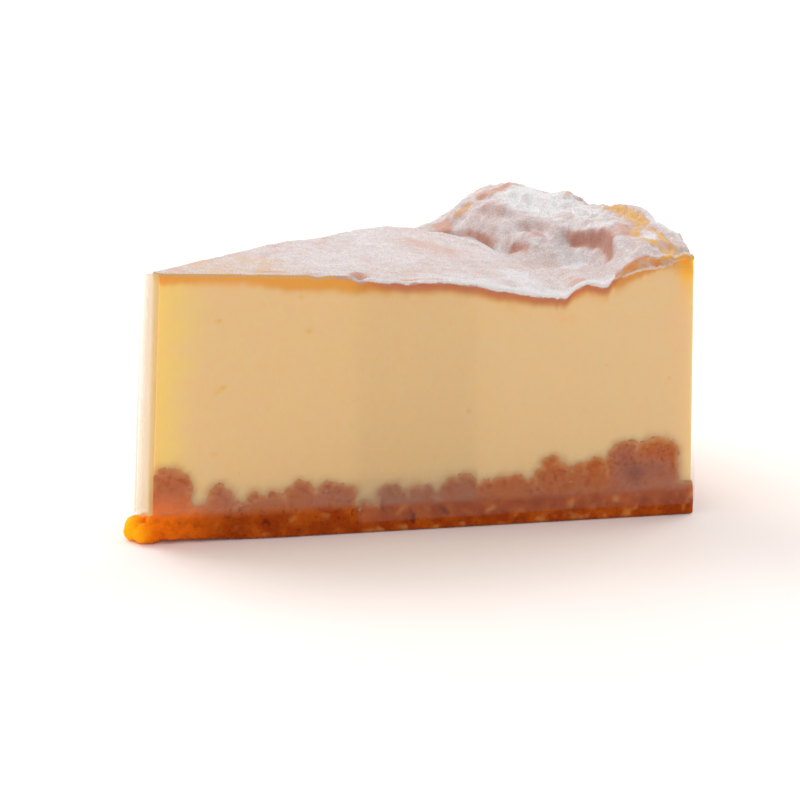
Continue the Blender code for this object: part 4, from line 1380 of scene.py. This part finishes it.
class LumpsAlongCuts:
    """Every lump of crumble, those of the front cut by their places and the others by rule."""

    # Distance from the apex, width and top in mm, and how rosy
    FRONT = (
        (3.4, 6.6, 13.5, 0.75),
        (7.4, 3.8, 6.8, 0.6),
        (8.9, 3.6, 6.8, 0.5),
        (11.5, 5.2, 9.7, 0.6),
        (14.6, 4.4, 6.9, 0.6),
        (17.4, 4.2, 8.0, 0.2),
        (20.6, 4.8, 8.2, 0.2),
        (24.6, 6.2, 9.4, 0.25),
        (30.1, 8.0, 9.3, 0.6),
        (35.0, 4.0, 5.6, 0.7),
        (40.1, 6.0, 8.1, 0.8),
        (44.8, 6.4, 7.6, 0.8),
        (51.6, 8.0, 8.8, 0.4),
        (58.8, 9.4, 8.4, 0.1),
        (63.5, 4.6, 7.8, 0.2),
        (67.1, 6.2, 11.3, 0.1),
        (70.8, 5.4, 9.8, 0.15),
        (74.0, 5.8, 10.6, -0.15),
        (79.4, 7.4, 13.2, 0.5),
        (84.4, 7.8, 14.2, -0.5),
        (88.0, 4.0, 5.9, 0.6),
    )
    # A dark mauve place on the front cut: distance from the apex, height and half sizes in mm
    DUSKY, DUSKY_RUN, DUSKY_Z, DUSKY_WIDE, DUSKY_HIGH = 1.70, 83.6, 7.9, 5.6, 4.0

    SEED, BITS = 11, 6
    ROOT = 1.2
    MIN_DEPTH = 4.5

    # How far neighbouring crumbs run into each other in colour, and how the crumble's mauve and
    # its outline are uneven
    COLOUR_REACH, SLAB_ROSY = 0.7, 0.65
    SLAB_MAUVE, MAUVE = ((0.3, 0.12, 51.0),), ((0.35, 0.35, 47.0),)
    OUTLINE = ((0.35, 0.6, 41.0), (0.22, 1.5, 43.0))

    # Lumps of the back cut lie between these distances from the apex
    BACK_START, BACK_END = 12.0, 87.5

    # The pressed slab under the lumps: its top at the tip, its rise and its fall at the rim in
    # mm, where it rises and falls, as shares of the radius, and how uneven it is
    SLAB_TOP, SLAB_RISE, SLAB_FALL = 5.0, 1.5, 1.5
    SLAB_RISES, SLAB_FALLS, SLAB_WAVES = (0.45, 0.80), (0.93, 0.99), ((0.6, 0.22, 0.0),)

    def __init__(self) -> None:
        """Draws the lumps of the back cut and of the rim, as the solids have them."""
        draw = random.Random(self.SEED)
        self.found = [Lump(Side.FRONT, *lump) for lump in self.FRONT]
        run = self.BACK_START
        while run < 88.0:
            width = draw.uniform(4.0, 7.5)
            rise = 4.5 * float(smooth_step(50.0, 88.0, np.array(run)))
            top = 7.5 + rise + draw.uniform(-0.8, 1.6)
            middle = min(run + width / 2, self.BACK_END - width / 2)
            self.found.append(Lump(Side.BACK, middle, width, top, (run * 0.37) % 1.0))
            run += width + draw.uniform(-0.6, 2.4)
        turned = -0.82 * PLAN.half
        while turned < 0.85 * PLAN.half:
            width, top = draw.uniform(5.0, 8.0), draw.uniform(9.0, 12.5)
            self.found.append(Lump(Side.RIM, turned * PLAN.radius, width, top, (turned * 23.0) % 1.0))
            turned += (width + draw.uniform(0.0, 1.8)) / PLAN.radius
        self.crumbs = [crumb for lump in self.found for crumb in self._crumbs_of(lump, draw)]

    def _crumbs_of(self, lump: Lump, draw: random.Random) -> list[Crumb]:
        """A lump's core, wide at its foot, and the smaller crumbs stuck round its top."""
        half_width, half_height = lump.width / 2, (lump.top - self.ROOT) / 2
        middle = lump.top - half_height
        crumbs = [Crumb(lump, lump.run, middle - 0.5, half_width * 1.02, half_height * 0.97)]
        for _ in range(self.BITS):
            turned = draw.uniform(0.0, math.pi)
            size = draw.uniform(0.26, 0.52) * half_width
            run = lump.run + math.cos(turned) * (half_width * 1.16 - size)
            z = middle + math.sin(turned) * (half_height * 1.02 - size)
            crumbs.append(Crumb(lump, run, z, size, size * draw.uniform(0.8, 1.1)))
        return crumbs

    def slab_top(self, x: np.ndarray, y: np.ndarray) -> np.ndarray:
        """How high the pressed slab is at plan positions."""
        share = PLAN.polar(x, y)[0]
        rise = self.SLAB_RISE * smooth_step(*self.SLAB_RISES, share)
        rise = rise - self.SLAB_FALL * smooth_step(*self.SLAB_FALLS, share)
        return self.SLAB_TOP + rise + layered(on_plan(x, y), self.SLAB_WAVES)

    def measured(self, side: Side, places: np.ndarray) -> tuple[np.ndarray, np.ndarray]:
        """How places on a side lie to the crumble there.

        Args:
            side: The side.
            places: Rows of x, y and z in mm.

        Returns:
            How far each lies outside the crumble's ragged outline, in mm and below 0 inside,
            and how mauve the crumble nearest to it is.
        """
        share, across = PLAN.polar(places[:, 0], places[:, 1])
        along = share * PLAN.radius if side is not Side.RIM else (across - 0.5) * PLAN.angle * PLAN.radius
        z = places[:, 2]
        best = z - self.slab_top(places[:, 0], places[:, 1])
        # neighbouring crumbs run into each other in colour
        total = np.exp(-np.clip(best, -2.0, 8.0) / self.COLOUR_REACH)
        rosy = total * (self.SLAB_ROSY + layered(places, self.SLAB_MAUVE))
        for crumb in self.crumbs:
            if crumb.lump.side is side:
                gap = crumb.gap(along, z)
                weight = np.exp(-np.clip(gap, -2.0, 8.0) / self.COLOUR_REACH)
                total, rosy = total + weight, rosy + weight * crumb.lump.rosy
                best = np.minimum(best, gap)
        flat = np.column_stack([along, np.zeros_like(z), z])
        mauve = rosy / total + layered(flat, self.MAUVE)
        if side is Side.FRONT:
            high = peak(z, self.DUSKY_Z, self.DUSKY_HIGH)
            mauve = mauve + self.DUSKY * peak(along, self.DUSKY_RUN, self.DUSKY_WIDE) * high
        return best + layered(flat, self.OUTLINE), mauve

    def stain(self, side: Side, places: np.ndarray) -> np.ndarray:
        """How much the knife has smeared the cheese of a side with crumble, from 0 to 1."""
        return self.blended(self.measured(side, places)[0])

    @staticmethod
    def blended(gap: np.ndarray) -> np.ndarray:
        """How much crumble shows at distances out of its outline: the knife has blurred its edge."""
        return fade(-1.0, 1.2, gap)


class CrumbleBase:
    """The base of pressed crumble with its lumps, fused from slab and crumbs into one piece."""

    PROUD, DIVE = 0.12, 0.28
    VOXEL = 0.36
    SLAB_ROWS, SLAB_COLUMNS, SLAB_DROPS = 60, 40, 3
    SPARE = 0.35

    # Crumbs at the tip: how far ahead of it and aside, and half size
    TIP_CRUMBS = (
        (0.8, 3.1, 2.2),
        (-1.1, 2.5, 2.0),
        (-1.8, 3.9, 2.1),
        (1.7, 3.7, 1.4),
        (0.9, 1.3, 1.7),
        (-0.2, 0.7, 1.8),
    )
    # Grains and pits of the fused base: amount, cells a mm and seed
    GRAINS, PITS, PIT_EDGE, PIT_DEPTH = ((0.10, 0.9, 2.0), (0.10, 2.1, 5.0)), ((1.0, 0.75, 9.0),), 0.40, 0.5

    # How far the slab's foot is worn up and inwards at the tip, and how far along the cut
    WORN_UP, WORN_IN, WORN_REACH = 0.35, 1.0, 24.0

    def __init__(self, lumps: LumpsAlongCuts) -> None:
        """Remembers where the lumps are."""
        self.lumps = lumps

    def _slab(self) -> bpy.types.Object:
        """The pressed slab, a block bent to the slice's plan."""
        block, steps = SquareBlock("slab", self.SLAB_ROWS, self.SLAB_COLUMNS, self.SLAB_DROPS).built()
        row, column, drop = steps.T
        across = column / self.SLAB_COLUMNS
        turned = (across - 0.5) * PLAN.angle
        near = PLAN.blunt / np.cos(turned)
        reach = near + (PLAN.base_radius - near) * row / self.SLAB_ROWS
        run = reach / PLAN.base_radius
        x, y = PLAN.apex_x + reach * np.cos(turned), reach * np.sin(turned)
        z = (self.lumps.slab_top(x, y) + self.SPARE) * (1 - drop / self.SLAB_DROPS)
        plan = np.stack([x, y], axis=1) + PLAN.leaned(run, across, z)
        out = (1 - across)[:, None] * PLAN.cut_normal(-1) + across[:, None] * PLAN.cut_normal(1)
        worn = (drop == self.SLAB_DROPS) * (1 - across) * fade(0.0, self.WORN_REACH, reach)
        plan += (self.PROUD - self.WORN_IN * worn)[:, None] * out
        z = z + self.WORN_UP * worn
        move_corners(block, np.column_stack([plan, z]) * MM)
        return block

    def _crumb(
        self, name: str, place: Sequence[float], halves: Sequence[float], seed: float, turn: float
    ) -> bpy.types.Object:
        """One rough crumb: a ball squared off, pushed in and out by noise and turned on the table.

        Args:
            name: Its name.
            place: Its middle in mm.
            halves: Its half sizes in mm, before the turn.
            seed: Moves its noise.
            turn: Its turn about the upright, in radians.

        Returns:
            The crumb.
        """
        start_afresh()
        bpy.ops.mesh.primitive_ico_sphere_add(subdivisions=3, radius=1.0, location=(0, 0, 0))
        crumb = bpy.context.object
        crumb.name = name
        ways = corners_of(crumb)
        ways = np.sign(ways) * np.abs(ways) ** (2 / Crumb.SQUARE)
        rough = 1 + 0.07 * noise_at(ways, 1.5, seed) + 0.04 * noise_at(ways, 3.2, seed + 4)
        shaped = ways * rough[:, None] * np.array(halves)
        spun = np.column_stack(
            [
                shaped[:, 0] * math.cos(turn) - shaped[:, 1] * math.sin(turn),
                shaped[:, 0] * math.sin(turn) + shaped[:, 1] * math.cos(turn),
                shaped[:, 2],
            ]
        )
        move_corners(crumb, (spun + np.array(place)) * MM)
        return crumb

    def _cut_flat(self, crumb: bpy.types.Object) -> None:
        """Cuts off what a crumb has outside the slice."""
        corners = corners_of(crumb) / MM
        spoke = corners[:, :2] - PLAN.apex
        reach = np.hypot(*spoke.T)
        held = np.minimum(reach, PLAN.base_radius - 0.1)
        corners[:, :2] = spoke * (held / reach)[:, None] + PLAN.apex
        for way in (-1, 1):
            normal = PLAN.cut_normal(way)
            off = (corners[:, :2] - PLAN.apex) @ normal - (PLAN.lean_off(corners[:, 2]) + self.PROUD)
            corners[:, :2] -= np.maximum(off, 0.0)[:, None] * normal
        move_corners(crumb, corners * MM)

    def _lump_crumbs(self) -> list[bpy.types.Object]:
        """Every crumb of every lump, cut flat where the slice is."""
        made = []
        cuts = {Side.FRONT: -PLAN.half, Side.BACK: PLAN.half}
        for number, crumb in enumerate(self.lumps.crumbs):
            on_rim = crumb.lump.side is Side.RIM
            angle = cuts.get(crumb.lump.side, crumb.run / PLAN.radius)
            reach = PLAN.radius - 1.5 if on_rim else crumb.run
            turn = angle + math.pi / 2 if on_rim else angle
            deep = max(crumb.half_width, self.lumps.MIN_DEPTH / 2 if crumb.half_width > 1.6 else 0.0)
            halves = (crumb.half_width + self.SPARE, deep, crumb.half_height + self.SPARE)
            middle = (PLAN.apex_x + reach * math.cos(angle), reach * math.sin(angle), crumb.z)
            made.append(self._crumb(f"crumb_{number}", middle, halves, 7.3 * number, turn))
            self._cut_flat(made[-1])
        return made

    def build(self) -> bpy.types.Object:
        """Models, fuses and dresses the base."""
        slab = self._slab()
        pieces = self._lump_crumbs()
        for number, (ahead, aside, half) in enumerate(self.TIP_CRUMBS):
            place = (PLAN.apex_x - ahead, aside, half * 0.85)
            pieces.append(self._crumb(f"tip_{number}", place, (half, half, half), 3.1 * number, 0.0))
        start_afresh()
        for piece in pieces:
            piece.select_set(True)
        slab.select_set(True)
        bpy.context.view_layer.objects.active = slab
        bpy.ops.object.join()
        slab.name = slab.data.name = "crumble"
        slab.data.remesh_voxel_size = self.VOXEL * MM
        bpy.ops.object.voxel_remesh()
        self._roughen(slab)
        slab.data.materials.clear()
        slab.data.materials.append(CrumbFinish().made())
        slab.data.shade_smooth()
        settle(slab, Slot.CRUMB, "crumble_base")
        return slab

    def _roughen(self, base: bpy.types.Object) -> None:
        """Pits and grains on the fused base, and what its finish reads."""
        corners, normals = corners_of(base) / MM, normals_of(base)
        grain = layered(corners, self.GRAINS)
        pits = np.clip(layered(corners, self.PITS) - self.PIT_EDGE, 0.0, 1.0)
        share, across = PLAN.polar(corners[:, 0], corners[:, 1])
        walls = np.abs(normals[:, 2]) < 0.7
        gap, rosy = np.full(len(corners), -2.0), np.full(len(corners), 0.5)
        for side, chosen in self._walls(corners, share, across, walls):
            gap[chosen], rosy[chosen] = self.lumps.measured(side, corners[chosen])
        relief = (grain - self.PIT_DEPTH * pits) * np.where(walls, 0.2 + 0.8 * fade(-1.0, 0.3, gap), 0.4)
        relief -= self.DIVE * smooth_step(-0.6, 0.9, gap)
        moved = corners + normals * relief[:, None]
        moved[corners[:, 2] < 0.12, 2] = 0.0
        moved[:, 2] = np.maximum(moved[:, 2], 0.0)
        move_corners(base, moved * MM)
        note(base, "lump", smooth_step(3.6, 5.2, corners[:, 2]))
        note(base, "bare", self.lumps.blended(gap))
        note(base, "rosy", np.clip(rosy, 0.0, 1.0))
        note(base, "dusky", np.clip(rosy - 1.0, 0.0, 1.0))
        note(base, "sunny", np.clip(-rosy, 0.0, 1.0))
        ahead = share * PLAN.radius * np.sign(corners[:, 0] - PLAN.apex_x + 1e-6)
        # painted glow where backlight shines through the crumble: near the tip and low down, brightest at the
        # very tip
        note(base, "lit", fade(0.5, 15.0, ahead) * (1 - 0.85 * smooth_step(4.5, 10.0, moved[:, 2])))
        note(base, "painted_tip_blaze", fade(PLAN.apex_x - 3.4, PLAN.apex_x + 0.4, moved[:, 0]))
        note(base, "low", fade(0.6, 2.2, corners[:, 2]))

    @staticmethod
    def _walls(
        corners: np.ndarray, share: np.ndarray, across: np.ndarray, walls: np.ndarray
    ) -> list[tuple[Side, np.ndarray]]:
        """The upright corners of the base by the side that they lie on."""
        rim = walls & (share * PLAN.radius > PLAN.radius - 0.6)
        cuts = walls & ~rim
        return [(Side.FRONT, cuts & (across < 0.5)), (Side.BACK, cuts & (across >= 0.5)), (Side.RIM, rim)]


class IcingSugar:
    """Loose grains of icing sugar on the skin, joined into one piece."""

    GRAINS, SEED = 36000, 5
    SMALLEST, LARGEST = 0.05, 0.12
    FEWEST, SUNK = 0.12, 0.3

    def __init__(self, filling: bpy.types.Object) -> None:
        """Remembers the filling, whose skin says how much sugar lies where."""
        self.filling = filling

    def _faces(self) -> tuple[np.ndarray, np.ndarray]:
        """The corners of the filling's faces of four, and how many grains each should get."""
        mesh = self.filling.data
        totals = np.empty(len(mesh.polygons), int)
        starts, areas = np.empty_like(totals), np.empty(len(totals))
        corners = np.empty(len(mesh.loops), int)
        mesh.polygons.foreach_get("loop_total", totals)
        mesh.polygons.foreach_get("loop_start", starts)
        mesh.polygons.foreach_get("area", areas)
        mesh.loops.foreach_get("vertex_index", corners)
        lying = np.empty(len(mesh.vertices))
        mesh.attributes["sugar"].data.foreach_get("value", lying)
        fours = totals == 4
        quads = corners[starts[fours][:, None] + np.arange(4)]
        return quads, areas[fours] * np.maximum(lying[quads].mean(axis=1) - self.FEWEST, 0.0) ** 2

    def build(self) -> bpy.types.Object:
        """Scatters the grains, more where more sugar lies."""
        draw = np.random.default_rng(self.SEED)
        quads, wanted = self._faces()
        chosen = quads[draw.choice(len(quads), self.GRAINS, p=wanted / wanted.sum())]
        places, normals = corners_of(self.filling) / MM, normals_of(self.filling)
        u, v = draw.random((2, self.GRAINS, 1))
        parts = ((1 - u) * (1 - v), u * (1 - v), u * v, (1 - u) * v)
        middle = sum(part * places[chosen[:, n]] for n, part in enumerate(parts))
        out = sum(part * normals[chosen[:, n]] for n, part in enumerate(parts))
        size = draw.uniform(self.SMALLEST, self.LARGEST, (self.GRAINS, 1))
        tip_to_tip = np.array([(1, 1, 1), (1, -1, -1), (-1, 1, -1), (-1, -1, 1)]) / math.sqrt(3)
        # a random turn for each grain, from a random unit quaternion
        turns = draw.normal(size=(4, self.GRAINS))
        w, x, y, z = turns / np.linalg.norm(turns, axis=0)
        turn = np.array(
            [
                [1 - 2 * (y * y + z * z), 2 * (x * y - z * w), 2 * (x * z + y * w)],
                [2 * (x * y + z * w), 1 - 2 * (x * x + z * z), 2 * (y * z - x * w)],
                [2 * (x * z - y * w), 2 * (y * z + x * w), 1 - 2 * (x * x + y * y)],
            ]
        )
        corners = np.einsum("ijn,kj->nki", turn, tip_to_tip) * size[:, :, None]
        corners += (middle + out * size * self.SUNK)[:, None, :]
        faces = np.array([(0, 1, 2), (0, 2, 3), (0, 3, 1), (1, 3, 2)])
        faces = (faces[None] + 4 * np.arange(self.GRAINS)[:, None, None]).reshape(-1, 3)
        mesh = bpy.data.meshes.new("icing_sugar")
        mesh.from_pydata((corners.reshape(-1, 3) * MM).tolist(), [], faces.tolist())
        mesh.materials.append(SugarFinish().made())
        grains = bpy.data.objects.new("icing_sugar", mesh)
        bpy.context.scene.collection.objects.link(grains)
        settle(grains, Slot.CHEESE)
        return grains


class FilmBand:
    """The band of clear film, once round the slice, its ends overlapping on the front cut."""

    THICKNESS, WIDTH, STANDOFF, CORNER_SPARE = 0.12, 40.9, 0.45, 0.5
    TIP_SPARE, TURN_REACH = 0.95, 20.0
    RADIUS, LAP, LAP_RUN = 1.5, 0.5, 3.0
    FIRST_END, LAST_END = 54.0, 34.0
    # How high its foot is along it: at its first end, at the tip and from the rim on
    FOOT_AT, FOOT_HEIGHT = (0.0, 0.13, 0.25, 0.75), (4.4, 5.1, 5.5, 2.0)
    CUT_STEPS, TURN_STEPS, RIM_STEPS = 24, 10, 40
    LOW_ROWS, CLINGING_ROWS, FREE_ROWS, LOW_TOP, UNDER_BRIM = 9, 10, 3, 11.5, 0.3
    FOOT_HAZE, CUT_HAZE, FREE_HAZE = 0.055, 0.0012, 0.02

    # Round the tip the haze fades out from both cuts to where the band turns away, in so many
    # shades. It stays stronger by the front cut, and reaches further round near the foot. This
    # cream haze is partly real film haze and partly painted glow and reflection of the backlit tip
    TIP_HAZE, TURN_HAZE, TIP_SHADES = 0.42, 0.02, 10
    FRONT_TURN, BACK_SHADE, FOOT_SPREAD = 0.9, 0.65, 0.25
    # the tip haze's cream colour paints the glow of the backlit tip
    TIP_COLOUR, TIP_ROUGHNESS, TIP_GLOSS = (0.82, 0.61, 0.29), 0.4, 0.1

    def __init__(self, top: BakedTop) -> None:
        """Remembers the top, above which the film is clean."""
        self.top = top

    def _standoff(self, reach: float) -> float:
        """How far the band stands off a cut: least in the middle, more where it turns."""
        at_tip, at_rim = fade(0.0, self.TURN_REACH, np.array([reach, PLAN.radius - reach]))
        return float(self.STANDOFF + self.TIP_SPARE * at_tip + self.CORNER_SPARE * at_rim)

    def _line(self, height: float) -> np.ndarray:
        """The band's plan line at one height, from its first end round to its last."""
        lean = float(PLAN.lean_off(np.array(height)))
        apex = PLAN.apex
        rim_radius = PLAN.base_radius + self.STANDOFF
        cut_end = rim_radius - self.RADIUS
        tip_off, corner_off = lean + self._standoff(0.0), lean + self._standoff(PLAN.radius)
        line: list[np.ndarray] = []

        def along_cut(side: int, start: float, end: float, lap: float = 0.0) -> None:
            """Adds a straight stretch along a cut."""
            for step in range(self.CUT_STEPS + 1):
                reach = start + (end - start) * step / self.CUT_STEPS
                off = lean + self._standoff(reach) + lap
                line.append(apex + PLAN.cut_way(side) * reach + PLAN.cut_normal(side) * off)

        def round_corner(side: int, from_cut: bool) -> None:
            """Adds the bend between a cut and the rim."""
            centre = apex + PLAN.cut_way(side) * cut_end + PLAN.cut_normal(side) * (corner_off - self.RADIUS)
            for step in range(self.TURN_STEPS + 1):
                turned = math.pi / 2 * step / self.TURN_STEPS
                turned = math.pi / 2 - turned if from_cut else turned
                spoke = PLAN.cut_way(side) * math.cos(turned) + PLAN.cut_normal(side) * math.sin(turned)
                line.append(centre + spoke * self.RADIUS)

        tip_centre = apex + np.array([(self.RADIUS - tip_off) / math.sin(PLAN.half), 0.0])
        tip_start = (self.RADIUS - tip_off) / math.tan(PLAN.half)
        along_cut(-1, self.FIRST_END, tip_start + self.RADIUS)
        for step in range(2 * self.TURN_STEPS + 1):
            turned = (math.pi / 2 - PLAN.half) * (1 - step / self.TURN_STEPS)
            line.append(tip_centre + self.RADIUS * np.array([-math.cos(turned), -math.sin(turned)]))
        along_cut(1, tip_start + self.RADIUS, cut_end - self.RADIUS)
        round_corner(1, True)
        for step in range(1, self.RIM_STEPS):
            turned = PLAN.half * (1 - 2 * step / self.RIM_STEPS)
            line.append(apex + np.array([math.cos(turned), math.sin(turned)]) * rim_radius)
        round_corner(-1, False)
        along_cut(-1, cut_end - self.RADIUS, self.FIRST_END + 2 * self.LAP_RUN)
        along_cut(-1, self.FIRST_END + self.LAP_RUN, self.LAST_END, self.LAP)
        return np.array(line)

    def build(self) -> bpy.types.Object:
        """Models and dresses the band."""
        foot_line, top_line = self._line(0.0), self._line(PLAN.tip_height)
        lengths = np.concatenate([[0.0], np.cumsum(np.hypot(*np.diff(foot_line, axis=0).T))])
        rows = self.LOW_ROWS + self.CLINGING_ROWS + self.FREE_ROWS
        film = flat_grid("clear_band", len(lengths) - 1, rows)
        steps = np.rint(corners_of(film)[:, :2] * (len(lengths) - 1, rows)).astype(int)
        post, rise = steps.T
        foot = np.interp(lengths[post] / lengths[-1], self.FOOT_AT, self.FOOT_HEIGHT)
        plan = top_line[post]
        share, across = PLAN.polar(plan[:, 0], plan[:, 1])
        at_x, at_y = PLAN.on_cake(np.minimum(share, 1.0), np.clip(across, 0.0, 1.0))
        brim = self.top.shaped(at_x, at_y).height
        brim = np.minimum(brim, foot + self.WIDTH) - self.UNDER_BRIM
        low = np.minimum(rise / self.LOW_ROWS, 1.0)
        clinging = np.clip((rise - self.LOW_ROWS) / self.CLINGING_ROWS, 0.0, 1.0)
        free = np.maximum(rise - self.LOW_ROWS - self.CLINGING_ROWS, 0) / self.FREE_ROWS
        z = foot + (self.LOW_TOP - foot) * low + (brim - self.LOW_TOP) * clinging
        z += (foot + self.WIDTH - brim) * free
        leaning = (z / PLAN.tip_height)[:, None]
        places = foot_line[post] * (1 - leaning) + top_line[post] * leaning
        move_corners(film, np.column_stack([places, z]) * MM)
        self._dress(film, post, rise)
        film.data.shade_smooth()
        wall = film.modifiers.new("thickness", "SOLIDIFY")
        wall.thickness = self.THICKNESS * MM
        wall.offset = 1.0
        bpy.ops.object.modifier_apply(modifier=wall.name)
        settle(film, Slot.FILM, "clear_film")
        return film

    def _dress(self, film: bpy.types.Object, post: np.ndarray, rise: np.ndarray) -> None:
        """Gives the band its haze, row by row: most at its foot, where crumbs hold it off the cake, and
        round the tip, where a cream haze is partly painted glow and reflection of the backlit tip.

        Args:
            film: The band, still without its thickness.
            post: The place of each corner along the band.
            rise: The row of each corner.
        """
        hazes = self.FOOT_HAZE, self.CUT_HAZE
        for row in range(self.LOW_ROWS):
            part = float(smooth_step(0.15, 1.0, np.array((row + 0.5) / self.LOW_ROWS)))
            film.data.materials.append(FilmFinish(f"film_low_{row}", self._between(*hazes, part)).made())
        film.data.materials.append(FilmFinish("film_clinging", self.CUT_HAZE).made())
        film.data.materials.append(FilmFinish("film_free", self.FREE_HAZE).made())
        # round the tip: shades of haze that are partly painted glow and reflection of the backlit tip
        for shade in range(self.TIP_SHADES):
            haze = self._between(self.TIP_HAZE, self.TURN_HAZE, shade / (self.TIP_SHADES - 1))
            look = self.TIP_COLOUR, self.TIP_ROUGHNESS, self.TIP_GLOSS
            film.data.materials.append(FilmFinish(f"film_tip_{shade}", haze, *look).made())
        for face in film.data.polygons:
            row = min(rise[corner] for corner in face.vertices)
            above = int(row >= self.LOW_ROWS) + int(row >= self.LOW_ROWS + self.CLINGING_ROWS)
            face.material_index = min(row, self.LOW_ROWS - 1) + above
            turned = min(post[corner] for corner in face.vertices) - self.CUT_STEPS
            if 0 <= turned <= 2 * self.TURN_STEPS:
                from_back = (2 * self.TURN_STEPS - turned) / self.TURN_STEPS
                faded = min(turned / (self.FRONT_TURN * self.TURN_STEPS), self.BACK_SHADE + from_back)
                risen = max(row - self.LOW_ROWS, 0) / self.CLINGING_ROWS
                faded -= self.FOOT_SPREAD * max(1.0 - risen, 0.0) * min(1.0, 2.0 * faded)
                shade = min(int(self.TIP_SHADES * faded), self.TIP_SHADES - 1)
                face.material_index = self.LOW_ROWS + 2 + shade

    @staticmethod
    def _between(start: float, end: float, part: float) -> float:
        """The value at a part of the way from one to another."""
        return start + (end - start) * part


class Stage:
    """The pale table, the light and the camera."""

    LENS, SENSOR, DISTANCE = 221.9, 36.0, 0.8
    TURN, ELEVATION = math.radians(-30.64), math.radians(17.56)
    TARGET, LIT_AT = Vector((-0.01001, -0.02073, 0.02452)), Vector((0, 0, 0.02))
    FRONT_SKY, BACK_SKY = (0.80, 0.72, 0.70), (0.90, 0.90, 0.90)
    TABLE_SIZE, TABLE_GAP = 6.0, 0.0002

    # The lights behind the slice: how far away, to the right and up, size, power
    LAMPS = {"back_left": ((0.38, -0.44, 0.52), 0.5, 3.4), "back_right": ((0.38, 0.44, 0.55), 0.4, 1.2)}
    LAMP_COLOUR = (1.0, 0.99, 0.97)

    def _lamp(self, name: str, place: Vector, size: float, power: float) -> None:
        """A soft light that faces the slice."""
        light = bpy.data.lights.new(name, "AREA")
        light.energy, light.size, light.color = power, size, self.LAMP_COLOUR
        lamp = bpy.data.objects.new(name, light)
        bpy.context.scene.collection.objects.link(lamp)
        lamp.location = place
        lamp.rotation_euler = (self.LIT_AT - place).to_track_quat("-Z", "Y").to_euler()

    def _sky(self, away: Vector) -> None:
        """Makes the room's light: white behind the slice, dimmer and warmer in front."""
        world = bpy.data.worlds.new("studio")
        world.use_nodes = True
        tree = world.node_tree
        place = tree.nodes.new("ShaderNodeTexCoord")
        dot = tree.nodes.new("ShaderNodeVectorMath")
        dot.operation = "DOT_PRODUCT"
        dot.inputs[1].default_value = away
        band = tree.nodes.new("ShaderNodeValToRGB")
        band.color_ramp.elements[0].position = 0.1
        band.color_ramp.elements[0].color = (*self.FRONT_SKY, 1.0)
        band.color_ramp.elements[1].position = 0.9
        band.color_ramp.elements[1].color = (*self.BACK_SKY, 1.0)
        half = tree.nodes.new("ShaderNodeMath")
        half.operation = "MULTIPLY_ADD"
        half.inputs[1].default_value = half.inputs[2].default_value = 0.5
        tree.links.new(place.outputs["Generated"], dot.inputs[0])
        tree.links.new(dot.outputs["Value"], half.inputs[0])
        tree.links.new(half.outputs[0], band.inputs["Fac"])
        tree.links.new(band.outputs["Color"], tree.nodes["Background"].inputs["Color"])
        bpy.context.scene.world = world

    def build(self) -> None:
        """Makes the table, the lights, the sky and the camera."""
        start_afresh()
        bpy.ops.mesh.primitive_plane_add(size=self.TABLE_SIZE, location=(0, 0, -self.TABLE_GAP))
        table = bpy.context.object
        table.name = "table"
        table.data.materials.append(TableFinish().made())
        right = Vector((math.cos(self.TURN), math.sin(self.TURN), 0))
        away = Vector((-right.y, right.x, 0))
        up = Vector((0, 0, 1))
        for name, ((behind, aside, above), size, power) in self.LAMPS.items():
            self._lamp(name, away * behind + right * aside + up * above, size, power)
        self._sky(away)
        camera = bpy.data.cameras.new("camera")
        camera.lens, camera.sensor_width = self.LENS, self.SENSOR
        holder = bpy.data.objects.new("camera", camera)
        bpy.context.scene.collection.objects.link(holder)
        back = away * math.cos(self.ELEVATION) - up * math.sin(self.ELEVATION)
        holder.location = self.TARGET - back * self.DISTANCE
        holder.rotation_euler = (self.TARGET - holder.location).to_track_quat("-Z", "Y").to_euler()
        bpy.context.scene.camera = holder
        bpy.context.scene.view_settings.view_transform = "Standard"
        LOG.info("stage ready")


def main() -> None:
    """Builds the slice piece by piece."""
    logging.basicConfig(level=logging.INFO, format="%(name)s: %(message)s")
    Stage().build()
    top, lumps = BakedTop(), LumpsAlongCuts()
    filling = Filling(top, lumps).build()
    IcingSugar(filling).build()
    CrumbleBase(lumps).build()
    FilmBand(top).build()


if __name__ == "__main__":
    main()
